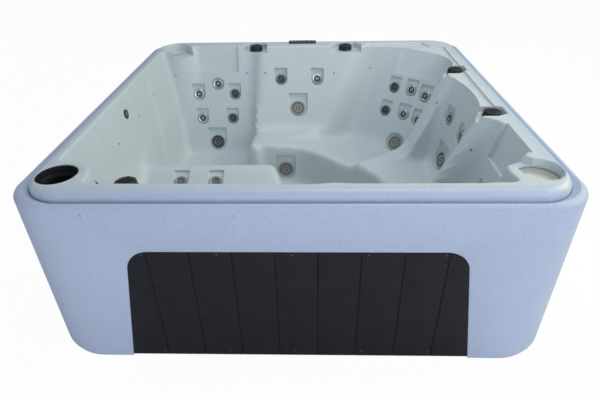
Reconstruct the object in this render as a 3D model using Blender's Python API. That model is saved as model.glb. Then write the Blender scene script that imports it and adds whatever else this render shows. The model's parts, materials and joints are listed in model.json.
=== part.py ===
"""Square hot tub with a moulded basin: one lounge, five seats and a footwell, in metres, Z up.

Frame: the tub stands on z = 0, centred on the origin. The access panel faces -Y.
"""

import math

import bmesh
import bpy
import numpy as np
from mathutils import Matrix, Vector

# Overall size and fits
OUTER_HALF = 1.0
RIM_HEIGHT = 0.765
RIM_STAND = 0.045
LEDGE_HEIGHT = RIM_HEIGHT - RIM_STAND
CORNER_RADIUS = 0.16
SEAT_GAP = 0.0003
RUNNING_GAP = 0.0005
CUT_OVERRUN = 0.02
JOIN_OVERLAP = 0.004

# Moulded shell
RIM_HALF = 0.958
RIM_CORNER_RADIUS = 0.15
RIM_EDGE_ROUND = 0.012
RIM_STOCK = 0.004
RIM_DEPTH = 0.062
RIM_STEP_HALF = 0.925
BASIN_WALL = 0.024
FLOOR_HEIGHT = 0.055
LIP_ROUND = 0.012
SHELL_SECTORS = 220
SHELL_RINGS = 96
UNDER_RINGS = 44
SHELL_FACE_SHARE = 0.044
FOOTWELL_CENTRE = (0.08, -0.06)
LIP_SEARCH_NEAR = 0.35
LIP_SEARCH_FAR = 1.5
LIP_SEARCH_STEPS = 900
LIP_RING_POWER = 1.6
HEIGHT_SEARCH_ROOM = 0.185
HEIGHT_SEARCH_LOW = -0.05
HEIGHT_SEARCH_HIGH = RIM_HEIGHT + HEIGHT_SEARCH_ROOM
HEIGHT_SEARCH_STEPS = 16
ROUND_SHARE = 0.29
RADIUS_SEARCH_LOW = 0.2
RADIUS_SEARCH_HIGH = 2.0
RADIUS_SEARCH_STEPS = 40
SPREAD_SAMPLES = 4000
SPREAD_GAIN = 2.0
SPREAD_WIDTH = 0.10
PAN_RISE_LIMIT = 1.3
FLAT_ANGLE = 0.004

# Seats: back is (lip point, facing in degrees from +X, lean), sides are more such walls.
# A lean is the run into the basin for each metre of drop from the rim. A back with a bow is curved:
# it stands that much further out at half its width from the middle.
SEATS = {
    "rear_centre": {
        "back": ((-0.02, 0.812), -90.0, 0.36),
        "bow": 0.015,
        "half": 0.28,
        "sides": (((-0.42, 0.7), 0.0, 0.08), ((0.315, 0.7), 180.0, 0.10)),
        "nose": 0.53,
        "nose_height": 0.315,
        "fall": 0.085,
        "fillet": 0.09,
        "reach": 0.74,
    },
    "rear_right": {
        "back": ((0.7335, 0.707), -129.0, 0.44),
        "sides": (
            ((0.7, 0.820), -90.0, 0.05),
            ((0.867, 0.5), 180.0, 0.05),
            ((0.250, 0.7425), -58.3, 0.10),
            ((0.830, 0.385), 125.4, 0.10),
        ),
        "nose": 0.80,
        "nose_height": 0.30,
        "fall": 0.22,
        "fillet": 0.12,
        "reach": 0.97,
    },
    "right": {
        "back": ((0.848, -0.035), 180.0, 0.20),
        "bow": 0.045,
        "half": 0.25,
        "sides": (((0.80, 0.225), -68.0, 0.06), ((0.80, -0.275), 101.0, 0.06)),
        "nose": 0.44,
        "nose_height": 0.33,
        "fall": 0.08,
        "fillet": 0.08,
        "reach": 0.62,
    },
    "front_right": {
        "back": ((0.862, -0.58), 180.0, 0.24),
        "sides": (((0.80, -0.350), -98.5, 0.06), ((0.6, -0.878), 90.0, 0.14)),
        "nose": 0.44,
        "nose_height": 0.32,
        "fall": 0.05,
        "fillet": 0.08,
        "reach": 0.62,
    },
    "front_step": {
        "back": ((0.15, -0.878), 90.0, 0.16),
        "sides": (((-0.22, -0.7), 0.0, 0.14), ((0.66, -0.7), 180.0, 0.14)),
        "nose": 0.36,
        "nose_height": 0.37,
        "fall": 0.02,
        "fillet": 0.08,
        "reach": 0.55,
    },
}
SIDE_FILLET = 0.075
LIMIT_LEAN = 0.16

# Lounge: the pan follows the lying body from seat to knee to foot
LOUNGE_SEAT_HEIGHT = 0.085
LOUNGE_SEAT_Y = 0.28
LOUNGE_KNEE_HEIGHT = 0.402
LOUNGE_KNEE_Y = -0.08
LOUNGE_FOOT_HEIGHT = 0.21
LOUNGE_THIGH_RISE = 0.88
LOUNGE_CALF_FALL = 0.56
LOUNGE_KNEE_ROUND = 0.07
LOUNGE_END_ROUND = 0.10
LOUNGE_SLOPE_SHARE = 0.85
LOUNGE_BACK_FILLET = 0.08
LOUNGE_BACK_WALLS = (
    ((-0.58, 0.842), -90.0, 0.32),
    ((-0.305, 0.8), 180.0, 0.06),
    ((-0.873, 0.0), 0.0, 0.07),
    ((-0.5, 0.12), 90.0, 0.16),
)
LOUNGE_LEG_WALLS = (
    ((-0.5, 0.35), -90.0, 0.12),
    ((0.06, 0.0), 180.0, 0.15),
    ((-0.873, 0.0), 0.0, 0.07),
    ((-0.5, -0.875), 90.0, 0.10),
)

# Open bowls over the seats and over the lounge, whose walls show as the dividers between the seats
SEAT_BOWL_WALLS = (
    ((0.0, 0.800), -90.0, 0.42),
    ((0.700, 0.667), -129.0, 0.50),
    ((0.800, 0.0), 180.0, 0.50),
    ((-0.28, 0.0), 0.0, 0.50),
    ((0.0, -0.878), 90.0, 0.30),
)
SEAT_BOWL_BED = 0.33
LOUNGE_BOWL_WALLS = (
    ((0.0, 0.800), -90.0, 0.42),
    ((0.10, 0.0), 180.0, 0.30),
    ((-0.895, 0.0), 0.0, 0.18),
    ((0.0, -0.878), 90.0, 0.30),
)
LOUNGE_BOWL_BED = 0.45
DIVIDER_ROUND = 0.055

# Footwell: each wall is given by a point at its foot and the way it faces
FOOTWELL_WALLS = (
    ((-0.13, 0.30), -90.0),
    ((0.0, 0.30), -135.7),
    ((0.40, -0.2), 180.0),
    ((-0.25, 0.30), 20.8),
    ((0.1, -0.50), 90.0),
)
RISER_LEAN = 0.10
FOOTWELL_FILLET = 0.06
NOSE_ROUND = 0.05

# Posts of the shell under the corner wells and the low knob: plan centre, radius, lean, top
POSTS = (
    ((-0.843, -0.833), 0.100, 0.10, 1.0),
    ((0.850, -0.800), 0.103, 0.10, 1.0),
    ((-0.830, 0.820), 0.100, 0.0, 1.0),
    ((-0.612, -0.852), 0.060, 0.10, 0.711),
)
POST_FILLET = 0.05
POST_TOP_ROUND = 0.02

# Corner wells, and the dish that opens into the basin
WELL_SEGMENTS = 24
FILTER_CENTRE = (-0.856, -0.820)
FILTER_WELL_RADIUS = 0.078
FILTER_THROAT_RADIUS = 0.059
BOWL_CENTRE = (0.862, -0.795)
BOWL_WELL_RADIUS = 0.077
BOWL_THROAT_RADIUS = 0.066
WELL_DEPTH = 0.040
BOWL_RIDGE_DEPTH = 0.033
BOWL_RIDGE_HALF = 0.058
BOWL_RIDGE_REACH = 0.16
DISH_CENTRE = POSTS[2][0]
DISH_RADIUS = 0.086
DISH_DEPTH = 0.048
DISH_MOUTH_HALF = 0.068
DISH_MOUTH_REACH = 0.19

# Lowered shelf behind the lip, along the rear right and the right side
SHELF_DEPTH = 0.010
SHELF_OUTLINE = (
    (0.40, 0.62),
    (0.62, 0.62),
    (0.62, -0.315),
    (0.865, -0.315),
    (0.886, -0.285),
    (0.886, 0.775),
    (0.800, 0.800),
    (0.765, 0.884),
    (0.425, 0.884),
    (0.40, 0.860),
)

# Head recesses: middle of the lip edge, facing, lean
HEAD_RECESSES = (
    ((-0.565, 0.842), -90.0, 0.32),
    ((0.7335, 0.707), -129.0, 0.44),
    ((0.862, -0.54), 180.0, 0.24),
)
HEAD_RECESS_HALF = 0.132
HEAD_RECESS_DEPTH = 0.013
HEAD_RECESS_HEIGHT = 0.165
HEAD_RECESS_REACH = 0.10

# Knobs: plan centre, facing of the notch, half width of the notch, depth of its floor below the rim
KNOBS = {
    "knob_rear_left": ((-0.315, 0.862), -90.0, 0.075, 0.036),
    "knob_rear_right": ((0.268, 0.862), -90.0, 0.100, 0.036),
    "knob_right_rear": ((0.852, 0.352), 180.0, 0.070, 0.036),
    "knob_right_front": ((0.864, -0.260), 180.0, 0.065, 0.036),
    "knob_front_left": ((-0.612, -0.836), 90.0, 0.0, 0.056),
}
SPOT_FACE_RADIUS = 0.0385
SPOT_FACE_REACH = 0.050
NOTCH_BACK = 0.046
NOTCH_BACK_SHARE = 0.62
NOTCH_FLARE = 0.050
NOTCH_REACH = 0.16
KNOB_RADIUS = 0.0365
KNOB_GRIP_SHARE = 0.90
KNOB_SEGMENTS = 16
KNOB_SKIRT_HEIGHT = 0.006
KNOB_HEIGHT = 0.030
KNOB_CHAMFER = 0.004
KNOB_TOP_RADIUS = 0.0245
KNOB_CAP_RADIUS = 0.020
KNOB_CAP_SINK = 0.0025
KNOB_STEM_RADIUS = 0.0125
KNOB_STEM_LENGTH = 0.028
VALVE_COLLAR_RADIUS = 0.030
VALVE_COLLAR_HEIGHT = 0.004
VALVE_BORE_RADIUS = 0.0136
VALVE_BORE_DEPTH = 0.032
VALVE_NECK_RADIUS = 0.019
VALVE_HOLE_RADIUS = 0.0196
VALVE_NECK_END = 0.635
VALVE_HOLE_LOW = 0.655
VALVE_SEGMENTS = 12

# Jets: pockets in the wall, fixed bodies and turning faces
SMALL_JET = {
    "pocket_half": 0.040,
    "pocket_top": 0.066,
    "pocket_depth": 0.013,
    "hole": 0.0255,
    "body": 0.025,
    "cup": 0.0205,
    "collar": 0.0355,
    "face": 0.031,
    "segments": 10,
}
ROUND_JET = dict(SMALL_JET, pocket_top=0.0)
LARGE_JET = {
    "pocket_half": 0.060,
    "pocket_top": 0.094,
    "pocket_depth": 0.014,
    "hole": 0.0355,
    "body": 0.035,
    "cup": 0.0300,
    "collar": 0.0490,
    "face": 0.0435,
    "segments": 12,
}
ROUND_LARGE_JET = dict(LARGE_JET, pocket_top=0.0)
POCKET_ARC_STEPS = 6
POCKET_OUT = 0.05
JET_COLLAR_THICK = 0.003
JET_BODY_LENGTH = 0.046
JET_CUP_DEPTH = 0.028
JET_HUB_LENGTH = 0.022
JET_FACE_THICK = 0.0065
JET_FACE_ROUND = 0.002
JET_RING_SHARE = 0.78
JET_DISH_DEPTH = 0.0035
JET_NOZZLE_SHARE = 0.34
JET_NOZZLE_DEPTH = 0.012
JET_GRIP_SHARE = 0.93
JET_NIPPLE_LENGTH = 0.012
JET_HOSE_RADIUS = 0.011
JET_HOSE_SEGMENTS = 6
JET_HOSE_FALL = 0.05
GRADIENT_STEP = 0.0005
WALL_SEARCH_STEPS = 8

# Each jet: size and a point on its wall
JETS = {
    "jet_lounge_top": (ROUND_JET, (-0.576, 0.769, 0.536)),
    "jet_lounge_upper_left": (SMALL_JET, (-0.706, 0.749, 0.475)),
    "jet_lounge_upper_right": (SMALL_JET, (-0.465, 0.749, 0.475)),
    "jet_lounge_lower_left": (SMALL_JET, (-0.691, 0.701, 0.322)),
    "jet_lounge_lower_right": (SMALL_JET, (-0.486, 0.701, 0.322)),
    "jet_lounge_large": (LARGE_JET, (-0.597, 0.650, 0.170)),
    "jet_centre_left": (SMALL_JET, (-0.153, 0.752, 0.573)),
    "jet_centre_right": (SMALL_JET, (0.084, 0.748, 0.573)),
    "jet_centre_large": (LARGE_JET, (-0.042, 0.684, 0.398)),
    "jet_foot": (LARGE_JET, (-0.112, 0.310, 0.140)),
    "jet_corner_upper_left": (SMALL_JET, (0.582, 0.698, 0.532)),
    "jet_corner_upper_middle": (SMALL_JET, (0.678, 0.623, 0.538)),
    "jet_corner_upper_right": (SMALL_JET, (0.755, 0.558, 0.522)),
    "jet_corner_lower_left": (SMALL_JET, (0.531, 0.659, 0.390)),
    "jet_corner_lower_middle": (SMALL_JET, (0.635, 0.577, 0.395)),
    "jet_corner_lower_right": (SMALL_JET, (0.716, 0.508, 0.383)),
    "jet_corner_large": (ROUND_LARGE_JET, (0.585, 0.515, 0.225)),
    "jet_right_rear": (SMALL_JET, (0.788, 0.120, 0.560)),
    "jet_right_front": (SMALL_JET, (0.803, -0.058, 0.541)),
    "jet_right_large": (LARGE_JET, (0.754, 0.055, 0.345)),
    "jet_front_right_rear": (SMALL_JET, (0.788, -0.480, 0.455)),
    "jet_front_right_front": (SMALL_JET, (0.788, -0.640, 0.455)),
    "jet_calf_left": (SMALL_JET, (-0.632, -0.175, 0.345)),
    "jet_calf_right": (SMALL_JET, (-0.450, -0.175, 0.345)),
}

# Plumbing: riser radius, sockets and the route of each circuit from its foot to its valve
RISER_RADIUS = 0.018
RISER_SEGMENTS = 8
RISER_TOP = 0.59
RETURN_Z = 0.09
RETURN_EDGE = 0.915
SOCKET_WALL = 0.0085
SOCKET_DEPTH = 0.020
SOCKET_RISE = 0.045
PIPE_FIT = 0.0006
CIRCUITS = {
    "plumbing_lounge": {
        "valve": "knob_rear_left",
        "foot": (-0.40, RETURN_EDGE),
        "turn": (-0.40, RETURN_EDGE),
        "jets": (
            "jet_lounge_top",
            "jet_lounge_upper_left",
            "jet_lounge_upper_right",
            "jet_lounge_lower_left",
            "jet_lounge_lower_right",
            "jet_lounge_large",
        ),
    },
    "plumbing_centre": {
        "valve": "knob_rear_right",
        "foot": (-0.04, RETURN_EDGE),
        "turn": (-0.04, RETURN_EDGE),
        "jets": ("jet_centre_left", "jet_centre_right", "jet_centre_large", "jet_foot"),
    },
    "plumbing_corner": {
        "valve": "knob_right_rear",
        "foot": (RETURN_EDGE, 0.76),
        "turn": (RETURN_EDGE, 0.352),
        "jets": (
            "jet_corner_upper_left",
            "jet_corner_upper_middle",
            "jet_corner_upper_right",
            "jet_corner_lower_left",
            "jet_corner_lower_middle",
            "jet_corner_lower_right",
            "jet_corner_large",
        ),
    },
    "plumbing_right": {
        "valve": "knob_right_front",
        "foot": (RETURN_EDGE, -0.20),
        "turn": (RETURN_EDGE, -0.20),
        "jets": (
            "jet_right_rear",
            "jet_right_front",
            "jet_right_large",
            "jet_front_right_rear",
            "jet_front_right_front",
        ),
    },
}
CALF_JETS = ("jet_calf_left", "jet_calf_right")
CALF_VALVE = "knob_front_left"
CALF_RISER_Y = -0.900
CALF_RUN_Z = 0.058
CALF_LINK_Z = 0.11
CALF_END_Y = -0.140

# Cabinet skirt
SKIRT_WALL = 0.012
SKIRT_EDGE_ROUND = 0.020
SKIRT_CORNER_STEPS = 4
LEDGE_INNER_HALF = 0.930
LEDGE_THICK = 0.010
FOOT_CORNER_RADIUS = 0.215
FOOT_CORNER_MIDDLE = 0.180
FOOT_CORNER_HEIGHT = 0.055
FOOT_CORNER_STEP = 0.020
FLANGE_INNER_HALF = 0.940
FLANGE_THICK = 0.012

# Access panel in the front of the skirt
PANEL_TOP = 0.547
PANEL_BOTTOM = 0.020
PANEL_TOP_HALF = 0.595
PANEL_BOTTOM_HALF = 0.672
PANEL_CORNER_RADIUS = 0.062
PANEL_CORNER_STEPS = 4
PANEL_THICK = 0.0055
PANEL_RECESS = 0.0012
PANEL_GAP = 0.002
PANEL_LAP = 0.025
PANEL_SILL = 0.055
GROOVE_PITCH = 0.152
GROOVE_FIRST_X = -0.532
GROOVE_COUNT = 8
GROOVE_HALF = 0.0025
GROOVE_DEPTH = 0.0022

# Base pan
PAN_HALF = 0.972
PAN_CORNER_RADIUS = 0.200
PAN_THICK = 0.010
SKID_HALF_WIDTH = 0.035
SKID_HALF_LENGTH = 0.80
SKID_SPACING = 0.40
SKID_COUNT = 5
PEDESTAL_LOW = (-0.07, -0.24)
PEDESTAL_HIGH = (0.28, 0.12)

# Filter in the front left corner
SPOUT_FACING = 45.0
BUCKET_FLANGE_RADIUS = 0.068
BUCKET_FLANGE_THICK = 0.004
BUCKET_RADIUS = 0.055
BUCKET_WALL = 0.004
BUCKET_BOTTOM = 0.400
BUCKET_NOZZLE_RADIUS = 0.018
BUCKET_NOZZLE_BORE = 0.013
BUCKET_NOZZLE_END = 0.372
SPOUT_HALF = 0.042
SPOUT_LOW = 0.618
SPOUT_HIGH = 0.680
SPOUT_WALL = 0.004
SPOUT_INNER_REACH = 0.046
SPOUT_REACH = 0.119
MOUTH_GAP = 0.001
MOUTH_CUT_START = 0.030
MOUTH_CUT_END = 0.16
CARTRIDGE_RADIUS = 0.045
CARTRIDGE_PLEAT_SHARE = 0.86
CARTRIDGE_PLEAT_RUN = 0.0012
CARTRIDGE_BORE = 0.016
CARTRIDGE_LOW = BUCKET_BOTTOM + BUCKET_WALL + SEAT_GAP
CARTRIDGE_HIGH = 0.590
CARTRIDGE_CAP = 0.010
CARTRIDGE_SEGMENTS = 20
CARTRIDGE_GRIP_RADIUS = 0.024
CARTRIDGE_GRIP_HEIGHT = 0.016
WEIR_AXIS_REACH = 0.112
WEIR_HALF = 0.0370
WEIR_HEIGHT = 0.046
WEIR_THICK = 0.003
WEIR_BARREL_RADIUS = 0.003
WEIR_BARREL_SEGMENTS = 8

# Steel bowl in the front right corner
BOWL_FLANGE_RADIUS = 0.0755
BOWL_STEEL = 0.0015
BOWL_PROFILE = ((0.0635, 0.0), (0.061, 0.028), (0.050, 0.054), (0.026, 0.070))
BOWL_ROLL = 0.004

# Wall light, suction covers and drain
LIGHT_POINT = (-0.887, -0.058, 0.671)
LIGHT_FLANGE_RADIUS = 0.023
LIGHT_FLANGE_THICK = 0.004
LIGHT_LENS_RADIUS = 0.015
LIGHT_LENS_DOME = 0.003
LIGHT_BODY_RADIUS = 0.013
LIGHT_HOLE_RADIUS = 0.0136
LIGHT_BODY_LENGTH = 0.045
LIGHT_SEGMENTS = 12
SEAT_CUT_DEPTH = 0.003
SEAT_CUT_GAP = 0.0015
SUCTION_POINTS = {
    "suction_cover_left": (0.215, -0.510, 0.180),
    "suction_cover_right": (0.410, -0.270, 0.180),
}
SUCTION_FLANGE_RADIUS = 0.046
SUCTION_DOME_RADIUS = 0.036
SUCTION_DOME_HEIGHT = 0.014
SUCTION_EDGE = 0.004
SUCTION_NECK_RADIUS = 0.018
SUCTION_NECK_LENGTH = 0.055
SUCTION_SEGMENTS = 12
SUCTION_BORE = 0.013
SUCTION_CAVITY = 0.030
SUCTION_SHELL = 0.003
SUCTION_RIBS = 3
SUCTION_SLOT_HALF = 0.0022
DRAIN_POINT = (0.150, 0.160, 0.100)
DRAIN_FLANGE_RADIUS = 0.020
DRAIN_FLANGE_THICK = 0.003
DRAIN_NECK_RADIUS = 0.011
DRAIN_HOLE_RADIUS = 0.0116
DRAIN_BORE = 0.006
DRAIN_RUN_Z = 0.046
DRAIN_NECK_LENGTH = 0.055
DRAIN_TURN_Y = 0.30
DRAIN_SPOUT_LENGTH = 0.012
DRAIN_SPOUT_RADIUS = 0.0135
DRAIN_CAP_RADIUS = 0.0185
DRAIN_CAP_BORE = 0.0145
DRAIN_CAP_THICK = 0.004
DRAIN_CAP_GRIP_SHARE = 0.92
DRAIN_OPENING_RADIUS = 0.0205
DRAIN_SEGMENTS = 12

# Pump, heater and control box behind the access panel
PIPE_RADIUS = 0.024
PIPE_SEGMENTS = 8
PIPE_BEND = 0.036
PUMP_AXIS_Y = -0.72
PUMP_AXIS_Z = 0.12
VOLUTE_SEGMENTS = 18
VOLUTE_START_X = 0.085
VOLUTE_END_X = 0.155
VOLUTE_RADIUS = 0.085
VOLUTE_WALL = 0.012
VOLUTE_ROUND = 0.010
VOLUTE_BORE = 0.022
INLET_MOUTH_X = 0.030
OUTLET_TOP_Z = 0.228
OUTLET_CLEARANCE = 0.010
SHAFT_RADIUS = 0.0075
SHAFT_HOLE_RADIUS = 0.0095
IMPELLER_RADIUS = 0.060
IMPELLER_DISC = 0.005
IMPELLER_VANE_DEPTH = 0.020
IMPELLER_HUB_RADIUS = 0.018
IMPELLER_VANES = 6
IMPELLER_VANE_THICK = 0.005
IMPELLER_SWEEP = 35.0
MOTOR_START_X = 0.172
MOTOR_END_X = 0.40
MOTOR_RADIUS = 0.072
MOTOR_FIN_SHARE = 0.93
MOTOR_FACE_RADIUS = 0.055
MOTOR_FACE = 0.014
MOTOR_COVER = 0.035
MOTOR_SEGMENTS = 20
MOTOR_SHAFT_HOLE = 0.00768
MOTOR_SHAFT_DEPTH = 0.020
MOTOR_FOOT_START_X = 0.215
MOTOR_FOOT_END_X = 0.345
MOTOR_FOOT_HALF = 0.060
MOTOR_FOOT_TOP = 0.075
HEATER_Y = -0.90
HEATER_Z = 0.25
HEATER_START_X = -0.42
HEATER_END_X = -0.10
HEATER_RADIUS = 0.030
HEATER_FLANGE_RADIUS = 0.039
HEATER_FLANGE = 0.014
HEATER_BOX_HALF = 0.045
HEATER_BOX_SEAT_SHARE = 0.6
HEATER_BOX_WIDTH = 0.018
HEATER_BOX_HEIGHT = 0.050
HEATER_SEGMENTS = 16
BOX_START_X = 0.20
BOX_END_X = 0.50
BOX_FRONT_Y = -0.972
BOX_REAR_Y = -0.890
BOX_TOP_Z = 0.205
BOX_ROUND = 0.012
BOX_ROUND_STEPS = 3
GLAND_RADIUS = 0.012
GLAND_BORE = 0.005
GLAND_LENGTH = 0.024
GLAND_SEGMENTS = 10
GLAND_Z = 0.07
SUCTION_TURN_X = -0.12
SUCTION_RUN_Y = -0.600
RETURN_DROP_X = 0.56
RETURN_LOW_X = 0.63
RETURN_END_X = -0.45

# Controls on the rear rim
TOPSIDE_CENTRE = (-0.0125, 0.917)
TOPSIDE_HALF = (0.090, 0.0375)
TOPSIDE_ROUND = 0.014
TOPSIDE_THICK = 0.005
TOPSIDE_BODY_HALF = (0.080, 0.0195)
TOPSIDE_BODY_Y = 0.9075
TOPSIDE_BODY_DEPTH = 0.046
TOPSIDE_SLOT_GAP = 0.001
DISPLAY_HALF = (0.030, 0.016)
DISPLAY_ROUND = 0.004
DISPLAY_DEPTH = 0.002
DISPLAY_PROUD = 0.0006
ROUND_STEPS = 4
BUTTON_OFFSETS = (-0.070, -0.045, 0.045, 0.070)
BUTTON_RADIUS = 0.0085
BUTTON_GAP = 0.0004
BUTTON_DEPTH = 0.012
BUTTON_PROUD = 0.002
BUTTON_TRAVEL = 0.0015
BUTTON_SEGMENTS = 12
BUTTON_CHAMFER = 0.0008

# Colours
COLOURS = {
    "shell": (0.62, 0.66, 0.68),
    "skirt": (0.45, 0.51, 0.62),
    "black": (0.02, 0.022, 0.025),
    "panel": (0.03, 0.035, 0.04),
    "steel": (0.62, 0.62, 0.6),
    "pipe": (0.75, 0.76, 0.78),
    "lens": (0.5, 0.55, 0.6),
    "paper": (0.85, 0.87, 0.88),
    "motor": (0.15, 0.17, 0.2),
}


def facing_vector(degrees):
    """Unit vector in plan for an angle from +X."""
    angle = math.radians(degrees)
    return math.cos(angle), math.sin(angle)


def smooth_max(first, second, blend):
    """The larger of two distances, rounded where they meet."""
    share = np.clip(0.5 + 0.5 * (first - second) / blend, 0.0, 1.0)
    return second + (first - second) * share + blend * share * (1.0 - share)


def smooth_min(first, second, blend):
    """The smaller of two distances, rounded where they meet."""
    return -smooth_max(-first, -second, blend)


def beyond_wall(x, y, z, wall):
    """Distance of a point behind a leaning wall, which passes through its lip point at rim height."""
    point, facing, lean = wall
    away_x, away_y = facing_vector(facing)
    inward = (x - point[0]) * away_x + (y - point[1]) * away_y
    return (lean * (RIM_HEIGHT - z) - inward) / math.hypot(1.0, lean)


def beyond_riser(x, y, z, point, facing):
    """Distance of a point behind a footwell wall, which passes through its foot point at floor height."""
    away_x, away_y = facing_vector(facing)
    inward = (x - point[0]) * away_x + (y - point[1]) * away_y
    return (-inward - RISER_LEAN * (z - FLOOR_HEIGHT)) / math.hypot(1.0, RISER_LEAN)


def lounge_height(y):
    """Height of the lounge along the body: low seat, raised knee, sloping leg rest."""
    rise = LOUNGE_SEAT_HEIGHT + LOUNGE_THIGH_RISE * (LOUNGE_SEAT_Y - y)
    fall = LOUNGE_KNEE_HEIGHT - LOUNGE_CALF_FALL * (LOUNGE_KNEE_Y - y)
    calf = smooth_max(fall, LOUNGE_FOOT_HEIGHT, LOUNGE_END_ROUND)
    knee = smooth_min(rise, calf, LOUNGE_KNEE_ROUND)
    return smooth_max(knee, LOUNGE_SEAT_HEIGHT, LOUNGE_END_ROUND)


def outside_seat(x, y, z, seat):
    """Distance of a point outside one seat's hollow: back, pan, sides and the limit over the footwell."""
    (point_x, point_y), facing, lean = seat["back"]
    away_x, away_y = facing_vector(facing)
    away = (x - point_x) * away_x + (y - point_y) * away_y
    along = (x - point_x) * away_y - (y - point_y) * away_x
    curved = away
    if "bow" in seat:
        curved = away - seat["bow"] * (along / seat["half"]) ** 2
    back = (lean * (RIM_HEIGHT - z) - curved) / math.hypot(1.0, lean)
    rise = np.clip(away / seat["nose"], 0.0, PAN_RISE_LIMIT)
    pan = seat["nose_height"] - seat["fall"] * (1.0 - rise) - z
    outside = smooth_max(back, pan, seat["fillet"])
    for wall in seat["sides"]:
        outside = smooth_max(outside, beyond_wall(x, y, z, wall), SIDE_FILLET)
    limit = (away - seat["reach"] - LIMIT_LEAN * (z - seat["nose_height"])) / math.hypot(1.0, LIMIT_LEAN)
    return smooth_max(outside, limit, SIDE_FILLET)


def outside_lounge(x, y, z, walls):
    """Distance of a point outside one half of the lounge."""
    outside = (lounge_height(y) - z) * LOUNGE_SLOPE_SHARE
    outside = smooth_max(outside, beyond_wall(x, y, z, walls[0]), LOUNGE_BACK_FILLET)
    for wall in walls[1:]:
        outside = smooth_max(outside, beyond_wall(x, y, z, wall), SIDE_FILLET)
    return outside


def outside_bowl(x, y, z, walls, bed):
    """Distance of a point outside one of the wide bowls over the seats."""
    outside = bed - z + 0.0 * x
    for wall in walls:
        outside = smooth_max(outside, beyond_wall(x, y, z, wall), SIDE_FILLET)
    return outside


def outside_footwell(x, y, z):
    """Distance of a point outside the footwell."""
    outside = FLOOR_HEIGHT - z + 0.0 * x
    for point, facing in FOOTWELL_WALLS:
        outside = smooth_max(outside, beyond_riser(x, y, z, point, facing), FOOTWELL_FILLET)
    return outside


def outside_basin(x, y, z):
    """Distance of a point outside the whole basin. It is negative in the water."""
    outside = outside_bowl(x, y, z, SEAT_BOWL_WALLS, SEAT_BOWL_BED)
    lounge_bowl = outside_bowl(x, y, z, LOUNGE_BOWL_WALLS, LOUNGE_BOWL_BED)
    outside = smooth_min(outside, lounge_bowl, DIVIDER_ROUND)
    for name in SEATS:
        outside = smooth_min(outside, outside_seat(x, y, z, SEATS[name]), DIVIDER_ROUND)
    for walls in (LOUNGE_BACK_WALLS, LOUNGE_LEG_WALLS):
        outside = smooth_min(outside, outside_lounge(x, y, z, walls), DIVIDER_ROUND)
    outside = smooth_min(outside, outside_footwell(x, y, z), NOSE_ROUND)
    for centre, radius, lean, top in POSTS:
        room = radius + lean * (RIM_HEIGHT - z) - np.hypot(x - centre[0], y - centre[1])
        room = smooth_min(room, top - z, POST_TOP_ROUND)
        outside = smooth_max(outside, room, POST_FILLET)
    return outside


def basin_height(x, y, grow):
    """Height of the basin surface at plan points, or of the surface that lies grow behind it."""
    low = np.full(np.shape(x), HEIGHT_SEARCH_LOW)
    high = np.full(np.shape(x), HEIGHT_SEARCH_HIGH)
    for _ in range(HEIGHT_SEARCH_STEPS):
        middle = 0.5 * (low + high)
        solid = outside_basin(x, y, middle) > grow
        low = np.where(solid, middle, low)
        high = np.where(solid, high, middle)
    return 0.5 * (low + high)


def lip_radii(angles, level, grow):
    """Distance from the footwell centre to the basin wall at a level, for each angle."""
    steps = np.linspace(LIP_SEARCH_NEAR, LIP_SEARCH_FAR, LIP_SEARCH_STEPS)
    x = FOOTWELL_CENTRE[0] + np.outer(np.cos(angles), steps)
    y = FOOTWELL_CENTRE[1] + np.outer(np.sin(angles), steps)
    beyond = outside_basin(x, y, np.full_like(x, level)) - grow
    first = np.argmax(beyond >= 0.0, axis=1)
    rows = np.arange(len(angles))
    low = beyond[rows, first - 1]
    high = beyond[rows, first]
    share = low / (low - high)
    return steps[first - 1] + (steps[first] - steps[first - 1]) * share


def corner_spread_angles(count):
    """Angles around the footwell centre, closer together where they cross the rim's corners."""
    even = np.linspace(0.0, 2.0 * np.pi, SPREAD_SAMPLES, endpoint=False)
    weight = np.ones_like(even)
    for side_x in (-1.0, 1.0):
        for side_y in (-1.0, 1.0):
            corner = math.atan2(side_y - FOOTWELL_CENTRE[1], side_x - FOOTWELL_CENTRE[0])
            apart = np.abs((even - corner + np.pi) % (2.0 * np.pi) - np.pi)
            weight = weight + SPREAD_GAIN * np.exp(-((apart / SPREAD_WIDTH) ** 2))
    total = np.concatenate([[0.0], np.cumsum(weight)])
    turn = np.linspace(0.0, 2.0 * np.pi, len(total))
    return np.interp(np.linspace(0.0, total[-1], count, endpoint=False), total, turn)


def rounded_square_radius(angles, half, corner):
    """Distance from the footwell centre to a rounded square about the origin, for each angle."""
    low = np.full(len(angles), RADIUS_SEARCH_LOW)
    high = np.full(len(angles), RADIUS_SEARCH_HIGH)
    for _ in range(RADIUS_SEARCH_STEPS):
        middle = 0.5 * (low + high)
        x = np.abs(FOOTWELL_CENTRE[0] + np.cos(angles) * middle) - (half - corner)
        y = np.abs(FOOTWELL_CENTRE[1] + np.sin(angles) * middle) - (half - corner)
        outside = np.hypot(np.maximum(x, 0.0), np.maximum(y, 0.0)) - corner
        outside = outside + np.minimum(np.maximum(x, y), 0.0)
        low = np.where(outside < 0.0, middle, low)
        high = np.where(outside < 0.0, high, middle)
    return 0.5 * (low + high)


def loop_points(radii, angles, heights):
    """Points of one closed loop about the footwell centre."""
    x = FOOTWELL_CENTRE[0] + np.cos(angles) * radii
    y = FOOTWELL_CENTRE[1] + np.sin(angles) * radii
    return np.column_stack([x, y, np.broadcast_to(heights, x.shape)])


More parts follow.
